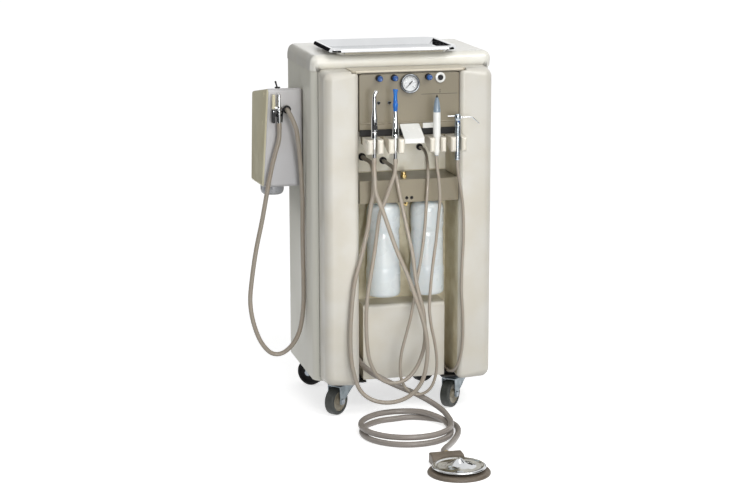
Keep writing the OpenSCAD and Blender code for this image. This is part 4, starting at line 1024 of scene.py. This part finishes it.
# ---------------------------------------------------------------- holders
def make_holders():
    w = 21
    first = True
    for i, (x, s) in enumerate(zip((-105, -50, 59, 114), (6.2, 5.8, 8.6, 7.3))):
        lw = w - s
        cyl = -262 + lw / 2
        out = [(-w, -200.2), (-w, cyl)]
        out += [(-(w - lw / 2) - lw / 2 * cos(radians(a)), cyl - lw / 2 * sin(radians(a))) for a in range(0, 181, 12)]
        out += [(-s, -243)]
        out += [(-s * cos(radians(a)), -243 + s * sin(radians(a))) for a in range(10, 171, 10)]
        out += [(s, -243)]
        out += [((w - lw / 2) - lw / 2 * cos(radians(a)), cyl - lw / 2 * sin(radians(a))) for a in range(0, 181, 12)]
        out += [(w, cyl), (w, -200.2)]
        clean = []
        for p in out:
            q = (x + p[0], p[1])
            if not clean or (abs(q[0] - clean[-1][0]) + abs(q[1] - clean[-1][1])) > 0.05:
                clean.append(q)
        a = prism("fork", clean, "z", 714, 754, 0, "holder")
        side = [(-262, 720), (-257, 715), (-252, 715), (-200.2, 735), (-200.2, 753), (-256, 753), (-262, 748)]
        side = rounded(side, 3.5, n=4)
        b = prism("side", side, "x", x - 30, x + 30, 0, "holder")
        boolean(a, [b], "INTERSECT", bevel=2.8, segs=4, angle=40)
        a.name = "holder_%d" % (i + 1)
        put(a, "cabinet", ["holders"] if first else ())
        first = False
    # sloped rest between the second and third holder
    ang = radians(28.6)
    pts = rounded([(-26.5, 0), (26.5, 0), (26, 63), (-25, 63)], 2.5, n=4)
    bm = bmesh.new()

    def at(p, h):
        y, z = p[1] * cos(ang) - h * sin(ang), p[1] * sin(ang) + h * cos(ang)
        return (-2 + p[0], -252 + y, 750 + z)
    lo_ = [bm.verts.new(at(p, 0)) for p in pts]
    hi_ = [bm.verts.new(at(p, 3)) for p in pts]
    n = len(pts)
    for k in range(n):
        bm.faces.new((lo_[k], lo_[(k + 1) % n], hi_[(k + 1) % n], hi_[k]))
    fa, fb = bm.faces.new(list(reversed(lo_))), bm.faces.new(hi_)
    bmesh.ops.bevel(bm, geom=list({e for f in (fa, fb) for e in f.edges}), offset=0.9, segments=3, profile=0.5, affect="EDGES")
    plate = finish_mesh("p", bm, "white", 40, weighted=True)
    lip = box("p", (-27.7, -254.6, 740), (23.7, -251.6, 752.5), 1.0, "white")
    bracket = box("p", (-10, -253, 741), (6, -200.2, 744), 0.6, "white")
    put(join([plate, lip, bracket], "sloped_rest"), "cabinet")


make_holders()


# ---------------------------------------------------------------- hanging instruments
TY = -243


def make_instruments():
    # suction handpiece with its bent tip
    x = -105
    parts = [lathe("p", [(0, 694), (4.6, 694), (5.4, 696), (5.4, 754), (0, 754)], (x, TY, 0), "z", "chrome", 48, 0.8),
             lathe("p", [(0, 753.4), (7.2, 753.5), (8.1, 755), (8.1, 768), (7.7, 769), (7.7, 771), (8.1, 772), (8.1, 806), (7.4, 812),
                         (5.6, 824), (5.0, 832), (4.9, 858), (0, 858)], (x, TY, 0), "z", "chrome", 56, 0.8)]
    tip = [(x, TY, 856), (x, TY, 861), (x + 1.0, TY, 866), (x + 3.2, TY, 871), (x + 6, TY, 875.6)]
    pts = curve_points(tip, 1.6)
    parts.append(sweep("p", pts, lambda s: 4.85 if s < 17 else 4.7, "chrome", 32))
    put(join(parts, "suction_wand"), "suction_handpiece", ["suction_handpiece"])
    e3 = Vector((6, 0, 10)).normalized()
    e1 = Vector((0, 1, 0))
    e2 = e3.cross(e1)
    # dark disc in the bent tip's mouth: painted shade standing in for the dark inside of the open tube
    o = lathe("suction_mouth_shade_disc", [(0, -1.5), (3.4, -1.5), (3.4, 0.25), (0, 0.25)], Vector((x + 6, TY, 875.6)), mat="dark", segs=32, soft=0.1,
              frame_axes=(e1, e2, e3))
    put(o, "suction_handpiece")
    # band between the hose and the wand
    put(ring_lathe("suction_cuff", [(5.0, 692.5), (6.4, 692.5), (6.6, 697), (6.2, 705), (5.45, 706), (5.0, 705)], (x, TY, 0), "z", "hose", 48, 0.8),
        "suction_handpiece")
    v = [lathe("p", [(0, 0), (2, 0), (2, 5), (6, 5.2), (6, 8.8), (5, 9.8), (0, 10)], (x, TY - 3.4 - 0.0, 784), "y", "black", 40, 0.5),
         box("p", (x - 2, TY - 13, 784), (x + 2, TY - 10, 797), 0.9, "black")]
    put(join(v, "suction_valve_knob"), "suction_valve", ["suction_valve"])
    # saliva ejector: chrome tube and cone, blue tip
    x = -50
    parts = [lathe("p", [(0, 689), (4.4, 689), (5, 691), (5, 754), (0, 754)], (x, TY, 0), "z", "chrome", 48, 0.8),
             lathe("p", [(0, 753.4), (9.0, 753.5), (9.7, 754.6), (10, 757), (9.6, 763), (9.0, 768.5), (8.6, 776), (7.4, 792), (6.2, 808),
                         (5.3, 821), (5.2, 823), (0, 823)], (x, TY, 0), "z", "chrome", 56, 0.8)]
    put(join(parts, "ejector_wand"), "ejector_handpiece", ["ejector_handpiece"])
    put(lathe("ejector_tip", [(0, 822.4), (5.2, 822.4), (5.5, 828), (6.4, 836), (6.4, 842), (5.2, 845.5), (5.9, 848), (5.0, 851), (4.6, 866),
                              (5.8, 873), (6.6, 876.4), (6.6, 878.3), (5.2, 878.4), (3.4, 874), (3.2, 853), (0, 853)], (x, TY, 0), "z", "tip", 48, 0.6),
        "ejector_handpiece")
    put(ring_lathe("ejector_cuff", [(4.6, 687.5), (5.4, 687.5), (5.9, 692), (5.7, 700), (5.05, 701), (4.6, 700)], (x, TY, 0), "z", "hose", 40, 0.5),
        "ejector_handpiece")
    v = [lathe("p", [(0, 0), (2, 0), (2, 5.8), (5, 6.0), (5, 8.4), (4.2, 9.1), (0, 9.2)], (x, TY - 4.4, 769), "y", "black", 40, 0.4),
         box("p", (x - 1.8, TY - 13.6, 769), (x + 1.8, TY - 11.2, 780), 0.8, "black")]
    put(join(v, "ejector_valve_knob"), "ejector_valve", ["ejector_valve"])
    # scaler: white body, grey nose, dark tip
    x = 59
    put(lathe("scaler_body", [(0, 706), (5.2, 706), (5.8, 707), (8.2, 717), (8.2, 753.4), (9.3, 753.6), (9.6, 757), (9.6, 771), (9.25, 772),
                              (9.25, 773.4), (9.6, 774.4), (9.5, 800), (9.3, 816), (8.9, 817), (0, 817)], (x, TY, 0), "z", "white", 64, 0.7),
        "scaler_handpiece", ["scaler_handpiece"])
    put(lathe("scaler_nose", [(0, 816.6), (9.1, 816.6), (9.3, 818), (8.6, 829), (6.6, 842), (5.0, 850), (3.6, 854), (3.4, 854.4), (0, 854.4)],
              (x, TY, 0), "z", "nose", 56, 0.7), "scaler_handpiece")
    put(lathe("scaler_tip", [(0, 853.8), (3.2, 853.8), (2.9, 856.2), (1.7, 857.2), (1.3, 860.6), (0.8, 861), (0, 861)], (x, TY, 0), "z", "black", 32, 0.3),
        "scaler_handpiece")
    put(ring_lathe("scaler_cuff", [(3.6, 704.6), (4.6, 704.6), (5.4, 707), (6.4, 713), (6.2, 714), (4.0, 713)], (x, TY, 0), "z", "nose", 40, 0.4),
        "scaler_handpiece")
    # three-way syringe
    x = 114
    parts = [lathe("p", [(0, 691), (5.8, 691), (6.6, 693), (6.6, 754), (0, 754)], (x, TY, 0), "z", "satin", 48, 0.8),
             lathe("p", [(0, 753.4), (7.4, 753.5), (7.9, 755), (7.9, 776), (7.9, 788), (7.2, 793), (8.0, 797), (8.4, 799), (8.4, 805), (7.6, 807.6), (6, 810.3),
                         (0, 810.4)], (x, TY, 0), "z", "satin", 56, 0.8)]
    for k in range(7):
        z = 700 + k * 6
        parts.append(ring_lathe("p", [(6.2, z), (6.9, z + 0.6), (6.9, z + 2.4), (6.2, z + 3)], (x, TY, 0), "z", "satin", 40, 0.3))
    parts.append(lathe("p", [(0, 0), (3.4, 0), (3.4, 11), (2.6, 13.6), (1.9, 14), (0, 14)], (x, TY, 801), "x", "chrome", 32, 0.5))
    noz = curve_points([(x + 12, TY, 801), (x + 30, TY, 801.2), (x + 38, TY, 800), (x + 45, TY, 794.8), (x + 57, TY, 783.5)], 2)
    parts.append(sweep("p", noz, 1.65, "chrome", 20))
    parts.append(sweep("p", curve_points([(x - 26, TY, 805), (x - 12, TY, 805), (x - 6, TY, 805)], 3), 1.6, "chrome", 20))
    put(join(parts, "syringe_body"), "syringe_handpiece", ["syringe_handpiece"])
    # dark disc at the tube's end: painted shade standing in for the dark inside of the open tube
    put(lathe("syringe_mouth_shade_disc", [(0, -0.2), (0.9, -0.2), (0.9, 0.3), (0, 0.3)], (x - 26, TY, 805), mat="dark", segs=16, soft=0,
              frame_axes=(Vector((0, 1, 0)), Vector((0, 0, 1)), Vector((-1, 0, 0)))), "syringe_handpiece")
    for z, body, mt in ((791, "syringe_air_button", "blue"), (782, "syringe_water_button", "white")):
        put(lathe(body + "_cap", [(0, 0), (2.5, 0), (2.5, 5.2), (2.1, 6.1), (0, 6.2)], (x, TY - 4.4, z), "y", mt, 32, 0.4), body,
            [body])


make_instruments()


# ---------------------------------------------------------------- bottles
def make_bottles():
    r = 45
    for x, body in ((-59, "bottle_left"), (59, "bottle_right")):
        prof = [(0, 5), (r - 20, 4), (r - 12, 0.4), (r - 8, 0.2), (r - 3.4, 2.2), (r - 0.8, 6), (r, 11), (r, 68), (r - 0.8, 74), (r - 2.2, 78),
                (r - 2.2, 160), (r - 3.2, 167), (r - 3.6, 172), (r - 2.6, 178), (r - 1.4, 184), (r - 1.2, 226), (r - 3.2, 236), (r - 8.5, 243.5), (r - 19, 249),
                (15.5, 251), (14, 253), (14, 281), (0, 281)]
        o = lathe(body + "_skin", prof, (x, -150, 325), "z", "bottle", 96, 3.2)
        # slightly squared, as blow-moulded bottles are
        for v in o.data.vertices:
            dx, dy = v.co.x - x * MM, v.co.y + 0.150
            rr = math.hypot(dx, dy)
            if rr > 0.02:
                a = math.atan2(dy, dx)
                k = 1 - 0.012 * (0.5 - 0.5 * cos(4 * a)) - 0.004 * (0.5 + 0.5 * sin(2 * a + v.co.z * 30))
                v.co.x, v.co.y = x * MM + dx * k, -0.150 + dy * k
        put(o, body, [body])


make_bottles()


# ---------------------------------------------------------------- side box
def make_side_box():
    pts = []
    for p in ((-326, 11, 849), (-247, 11, 849), (-341, 11, 604), (-247, 11, 604), (-331, 191, 821), (-247, 191, 821), (-336, 191, 592),
              (-247, 191, 592)):
        pts += ball(p, 8, 32)
    o = hull("holster_box", pts, "box", 30)
    # faces turned to the left take the lighter copy of the plastic, which paints light onto that side
    o.data.materials.append(M["box_lit_left_face"])
    for f in o.data.polygons:
        if f.normal.x < -0.55:
            f.material_index = 1
    cut = lathe("cut", [(0, 0), (6.1, 0), (6.1, 40), (0, 40)], (-302, 22, 850), "z", "dark", 32, 0)
    o = boolean(o, [cut])
    put(o, "cabinet", ["side_box"])
    put(lathe("drain_cup", [(0, 572), (22, 572), (25, 573), (29, 577), (31, 584), (31, 601), (0, 601)], (-315, 44, 0), "z", "cup", 64, 2), "cabinet")
    # screw caps on the outer face
    for i, (y, z, xx) in enumerate(((40, 838, -335.1), (42, 763, -338.9))):
        put(lathe("box_cap_%d" % i, [(0, -2), (5.2, -2), (5.2, 0.8), (4.2, 1.6), (0, 1.9)], (xx, y, z), mat="box_lit_left_face", segs=32, soft=0.5,
                  frame_axes=(Vector((0, 1, 0)), Vector((0.06, 0, 1)).normalized(), Vector((-1, 0, 0.06)).normalized())), "cabinet")
    # clip and hook
    put(ring_lathe("holster_ring", [(6.1, 786), (8.4, 786), (8.4, 793), (6.1, 793)], (-305, -12, 0), "z", "black", 48, 0.7), "cabinet",
        ["holster_clip"])
    o = bpy.data.objects["holster_ring"]
    boolean(o, [box("cut", (-311.1, -30, 780), (-298.9, -12, 800), 0)])
    put(o, "cabinet", ["holster_clip"])
    put(box("holster_stem", (-308, -7, 786), (-302, 2.9, 793), 0.8, "black"), "cabinet")
    put(sweep("hose_hook", curve_points([(-296, -3, 769), (-294.6, -3, 786), (-293, -3, 806)], 4), 1.8, "black", 20), "cabinet")
    put(lathe("hook_foot", [(0, -4), (2.2, -4), (2.2, 2.9), (0, 2.9)], (-294, 0, 797), "-y", "black", 24, 0.4), "cabinet")
    # gland of the hose
    put(ring_lathe("side_gland", [(6.05, 6.4), (7, 6.4), (7, -2.9), (6.05, -2.9)], (-283, 0, 803), "y", "rubber", 40, 0.4), "cabinet")
    put(ring_lathe("hose_grommet", [(7.1, 4.4), (10.6, 4.4), (10.6, 9.4), (8.6, 11), (6.3, 11), (6.3, 7.4), (7.1, 6.6)], (-283, 0, 803), "y",
                   "black", 40, 0.4), "cabinet")
    # switch on top
    put(ring_lathe("switch_bush", [(2.75, 850), (6.0, 850), (6.0, 856.8), (7.6, 857), (7.8, 858.2), (7.2, 859.4), (4.6, 859.6), (3.9, 857.6), (2.75, 857)], (-302, 22, 0), "z", "black", 40,
                   0.3), "cabinet")
    ang = radians(-16)
    e3 = Vector((sin(ang), 0, cos(ang)))
    e1 = Vector((cos(ang), 0, -sin(ang)))
    o = lathe("switch_lever", [(0, -2.4), (1.8, -1.6), (2.4, 0), (1.8, 1.7), (1.9, 3.6), (2.5, 17), (2.5, 19), (1.7, 20.5), (0, 20.7)],
              (-302, 22, 855.4), mat="black", segs=32, soft=0.3, frame_axes=(e1, Vector((0, 1, 0)), e3))
    put(o, "side_box_switch", ["side_box_switch"])
    # hanging handpiece
    x, y = -305, -12
    parts = [lathe("p", [(0, 753), (4.6, 753), (5.0, 754), (5.2, 765), (5.8, 775), (5.8, 793.4), (6.6, 793.8), (6.6, 800.6), (5.6, 802.6), (0, 803)],
                   (x, y, 0), "z", "chrome", 48, 0.8),
             lathe("p", [(0, 802), (3, 802), (6, 804.6), (7, 809), (6, 813.4), (4.3, 815.4), (4.2, 842), (3.6, 844.4), (2.8, 845), (0, 845)],
                   (x, y, 0), "z", "chrome", 48, 0.8),
             box("p", (x - 16, y - 4, 806), (x, y + 4, 812), 1.2, "chrome"),
             box("p", (x - 17, y + 6.4, 797), (x - 12, y + 8.4, 807), 0.5, "chrome"),
             box("p", (x - 17, y + 3, 805), (x - 12, y + 8.4, 808), 0.5, "chrome"),
             lathe("p", [(0, -7), (1.5, -7), (1.5, 6), (0, 6)], (x - 15, y, 800), "y", "chrome", 24, 0.3)]
    put(join(parts, "side_tool"), "side_handpiece", ["side_handpiece"])
    put(lathe("side_tool_nozzle", [(0, 806), (4.6, 806), (5.2, 807), (5.2, 812), (4.6, 814), (4.2, 842), (3.4, 844), (0, 844)], (x - 14, y, 0), "z", "box_lit_left_face",
              40, 0.7), "side_handpiece")
    put(ring_lathe("side_tool_cuff", [(4.8, 751.6), (6.2, 751.6), (6.6, 756), (6.0, 768), (5.25, 769), (4.8, 766)], (x, y, 0), "z", "hose", 40, 0.6),
        "side_handpiece")
    o = prism("side_tool_lever", rounded([(x - 19, 769), (x - 11, 769), (x - 11, 804), (x - 19, 804)], 3.9, n=6), "y", y - 5, y + 5, 1.4, "black")
    boolean(o, [lathe("cut", [(0, -9), (1.56, -9), (1.56, 9), (0, 9)], (x - 15, y, 800), "y", "dark", 24, 0)])
    put(o, "side_handpiece_lever", ["side_handpiece_lever"])


make_side_box()


# ---------------------------------------------------------------- casters
CAST = (("fl", -155, -99, 48), ("fr", 155, -99, 42), ("rl", -158, 158, 130), ("rr", 158, 158, 62))


def spin(o, x, y, turn):
    """Turns a piece that was built round the origin, trailing towards -Y, and moves it to its caster."""
    m = Matrix.Translation(Vector((x, y, 0)) * MM) @ Matrix.Rotation(-radians(turn), 4, "Z")
    o.data.transform(m)
    return o


def make_casters():
    for tag, x, y, t in CAST:
        # the rear wheels, hubs too, take the darker copy of the tread, which paints in their shade
        tread = "tread_rear_shaded" if tag[0] == "r" else "tread"
        # wheel, built with its axle along X at (0, -35, 37.5)
        c = (0, -35, 37.5)
        ax = (Vector((0, 1, 0)), Vector((0, 0, 1)), Vector((1, 0, 0)))
        parts = []
        tyre = [(27.5, -13.4), (31, -13.8), (34.5, -13), (36.6, -10.8), (37.4, -8), (37.5, 0), (37.4, 8), (36.6, 10.8), (34.5, 13), (31, 13.8), (27.5, 13.4),
                (26.5, 11.5), (26.5, -11.5)]
        parts.append(_ring(tyre, c, ax, tread, 96))
        hub_ = [(26.6, -12.4), (24.4, -12.6), (22.5, -10.4), (12.5, -9.2), (10.4, -12.6), (8.8, -16.4), (5.1, -16.5), (5.1, 16.5), (8.8, 16.4), (10.4, 12.6),
                (12.5, 9.2), (22.5, 10.4), (24.4, 12.6), (26.6, 12.4)]
        hm = "tread_rear_shaded" if tag[0] == "r" else "hub"
        parts.append(_ring(hub_, c, ax, hm, 72))
        o = join(parts, "wheel_%s_skin" % tag)
        spin(o, x, y, t)
        put(o, "wheel_" + tag, ["wheel_" + tag])
        # bracket
        parts = []
        for k in (-1, 1):
            a, b = (18, 20.5) if k > 0 else (-20.5, -18)
            out = [(-45, 78.6), (-45, 74)]
            out += [(-35 - 9.4 * cos(radians(q)), 37.5 - 9.4 * sin(radians(q))) for q in range(-28, 200, 12)]
            out += [(12, 66), (21, 70), (21, 78.6)]
            parts.append(prism("p", out, "x", a, b, 0.7, "bracket"))
        top = rounded([(-20.5, -45), (20.5, -45), (20.5, 21), (-20.5, 21)], 4)
        parts.append(prism("p", top, "z", 77, 80, 0.6, "bracket"))
        parts.append(lathe("p", [(5.2, 79.5), (21, 79.5), (23, 80.4), (23, 85.4), (21.4, 87.4), (5.2, 87.5)], (0, 0, 0), "z", "zinc", 56, 0.7))
        parts.append(lathe("p", [(0, -23.4), (5, -23.4), (5, 23.4), (0, 23.4)], c, mat="zinc", segs=32, soft=0.4, frame_axes=ax))
        for k in (-1, 1):
            hexa = [(-35 + 7.8 * cos(radians(q)), 37.5 + 7.8 * sin(radians(q))) for q in range(0, 360, 60)]
            a, b = (20.4, 24) if k > 0 else (-24, -20.4)
            parts.append(prism("p", hexa, "x", a, b, 0.6, "zinc"))
        o = join(parts, "caster_bracket_" + tag)
        spin(o, x, y, t)
        put(o, "caster_fork_" + tag, ["caster_fork_" + tag])


def _ring(prof, c, ax, mat, segs):
    prof = rounded(prof, 1.2, closed=True, n=3)
    e1, e2, e3 = ax
    c = Vector(c)
    bm = bmesh.new()
    rings = [[bm.verts.new(c + e1 * (r * cos(2 * pi * k / segs)) + e2 * (r * sin(2 * pi * k / segs)) + e3 * h) for k in range(segs)] for r, h in prof]
    for i in range(len(rings)):
        a, b = rings[i], rings[(i + 1) % len(rings)]
        for k in range(segs):
            bm.faces.new((a[k], a[(k + 1) % segs], b[(k + 1) % segs], b[k]))
    return finish_mesh("p", bm, mat, 40)


make_casters()


# ---------------------------------------------------------------- foot control
FX, FY = -2, -681


def make_foot():
    r = 77
    parts = [lathe("p", [(0, 0), (r - 1, 0), (r, 1), (r, 4), (r - 2, 7), (r - 5, 9), (r - 8.2, 10), (67.6, 10.0), (0, 10)], (FX, FY, 0), "z", "foot", 128, 0.8)]
    out = [(-631, 0.1), (-631, 10.4), (-624, 19.5), (-614, 25.2), (-606, 26.6)]
    out += [(-588 + 5 * cos(radians(a)), 22 + 5 * sin(radians(a))) for a in range(90, -1, -15)] + [(-583, 0.1)]
    h = prism("p", out, "x", FX - 50, FX + 32, 3.0, "foot", segs=4)
    cut = lathe("cut", [(0, 10.01), (67.5, 10.01), (67.5, 50), (0, 50)], (FX, FY, 0), "z", "foot", 128, 0)
    boolean(h, [cut], bevel=0.5, segs=2)
    parts.append(h)
    put(join(parts, "foot_base"), "cabinet", ["pedal_base"])
    d = 66
    put(lathe("foot_disc", [(0, 6.3), (5.9, 6.3), (5.9, 22), (14, 19.8), (30, 17.4), (d - 4, 16.2), (d - 1.6, 15.9), (d - 0.2, 17), (d, 18.2), (d - 1.2, 20),
                            (d - 3.6, 21.2), (d - 7, 20.8), (54, 18.9), (42, 18.9), (32, 20.2), (24, 23), (16, 28), (10, 33.4), (6.4, 37), (3.5, 38.2), (0, 38.4)],
              (FX, FY, 0), "z", "chrome", 160, 1.4, angle=60), "pedal_disc", ["pedal_disc"])


make_foot()


# ---------------------------------------------------------------- studio
def studio():
    w = bpy.data.worlds.new("studio")
    scene.world = w
    w.use_nodes = True
    nt = w.node_tree
    bg = nt.nodes["Background"]
    bg.inputs["Color"].default_value = (1.0, 1.0, 1.0, 1)
    bg.inputs["Strength"].default_value = 0.33
    # plain white paper seen behind the object
    paper = nt.nodes.new("ShaderNodeBackground")
    paper.inputs["Color"].default_value = (1.0, 1.0, 1.0, 1)
    paper.inputs["Strength"].default_value = 1.05
    lp = nt.nodes.new("ShaderNodeLightPath")
    mix = nt.nodes.new("ShaderNodeMixShader")
    seen = nt.nodes.new("ShaderNodeMath")
    seen.operation = "MAXIMUM"
    nt.links.new(lp.outputs["Is Camera Ray"], seen.inputs[0])
    nt.links.new(lp.outputs["Is Glossy Ray"], seen.inputs[1])
    nt.links.new(seen.outputs[0], mix.inputs[0])
    nt.links.new(bg.outputs[0], mix.inputs[1])
    nt.links.new(paper.outputs[0], mix.inputs[2])
    nt.links.new(mix.outputs[0], nt.nodes["World Output"].inputs["Surface"])
    # floor
    bm = bmesh.new()
    s = 2600
    vs = [bm.verts.new(p) for p in ((-s, -s, -0.4), (s, -s, -0.4), (s, s, -0.4), (-s, s, -0.4))]
    bm.faces.new(vs)
    fm = Mat("studio_floor", (0.96, 0.96, 0.96, 1), rough=0.7, spec=0.1)
    fm.tone(0.5, 0.01)
    fm.bsdf.inputs["Emission Color"].default_value = (1, 1, 1, 1)
    fm.bsdf.inputs["Emission Strength"].default_value = 0.62
    o = finish_mesh("studio_floor", bm, fm.m, 0)
    o.visible_diffuse = False

    def area(name, at, to, size, power, color=(1, 1, 1), size_y=None):
        l = bpy.data.lights.new(name, "AREA")
        l.energy = power
        l.color = color
        l.shape = "RECTANGLE"
        l.size = size
        l.size_y = size_y or size
        ob = bpy.data.objects.new(name, l)
        COL.objects.link(ob)
        ob.location = at
        ob.rotation_euler = (Vector(to) - Vector(at)).to_track_quat("-Z", "Y").to_euler()
        return ob
    area("key", (1.7, -3.0, 3.1), (0, 0, 0.6), 1.5, 50, (1.0, 0.998, 0.988))
    area("front_fill", (0.1, -4.5, 1.05), (0, 0, 0.6), 1.3, 56)
    area("top", (0.3, -2.2, 3.0), (0, -0.2, 0.7), 2.2, 22)
    area("left_fill", (-3.2, -0.6, 2.5), (-0.2, 0, 0.8), 1.4, 17)
    # narrow beam that lifts the inside of the recess
    for k, z in enumerate((0.70, 0.53, 0.36)):
        l = bpy.data.lights.new("recess_beam_%d" % k, "SPOT")
        l.energy = 120
        l.spot_size = radians(5.2)
        l.spot_blend = 0.5
        l.shadow_soft_size = 0.12
        ob = bpy.data.objects.new("recess_beam_%d" % k, l)
        COL.objects.link(ob)
        ob.location = (-0.75, -3.7, z + 0.1)
        ob.rotation_euler = (Vector((0.0, -0.12, z)) - ob.location).to_track_quat("-Z", "Y").to_euler()

    # dark cards beside the set: streaks in the polished metal, and a darker left side
    dark = Mat("studio_card", (0.012, 0.012, 0.013, 1), rough=0.9, spec=0.1)
    dark.tone(3, 0.2)

    def card(name, x, y, turn, width, low, high, shades=False):
        bm = bmesh.new()
        u = Vector((cos(turn), sin(turn), 0)) * (width / 2)
        c = Vector((x, y, 0))
        bm.faces.new([bm.verts.new(p) for p in (c - u + Vector((0, 0, low)), c + u + Vector((0, 0, low)),
                                                c + u + Vector((0, 0, high)), c - u + Vector((0, 0, high)))])
        o = finish_mesh(name, bm, dark.m, 0)
        o.visible_camera = False
        o.visible_shadow = False
        o.visible_diffuse = shades
        o.visible_glossy = True

    def around(name, azimuth, span, radius, low, high, shades=False):
        """A card that stands at a bearing, measured from the front towards the right."""
        a = radians(azimuth)
        card(name, radius * sin(a), -radius * cos(a), a, 2 * radius * math.tan(radians(span) / 2), low, high, shades)
    around("card_left", -74, 42, 2300, 0, 2300)
    around("card_front_left", -35, 34, 2500, 0, 2600)
    around("card_front_right", 30, 7, 2600, 0, 2600)
    around("card_right", 70, 50, 2200, 0, 2400)
    around("card_back_left", -158, 40, 2600, 0, 2300)
    around("card_back_right", 150, 44, 2600, 0, 850)
    scene.view_settings.view_transform = "Standard"
    scene.view_settings.look = "None"
    scene.view_settings.exposure = 0.0
    scene.view_settings.gamma = 1.0


studio()
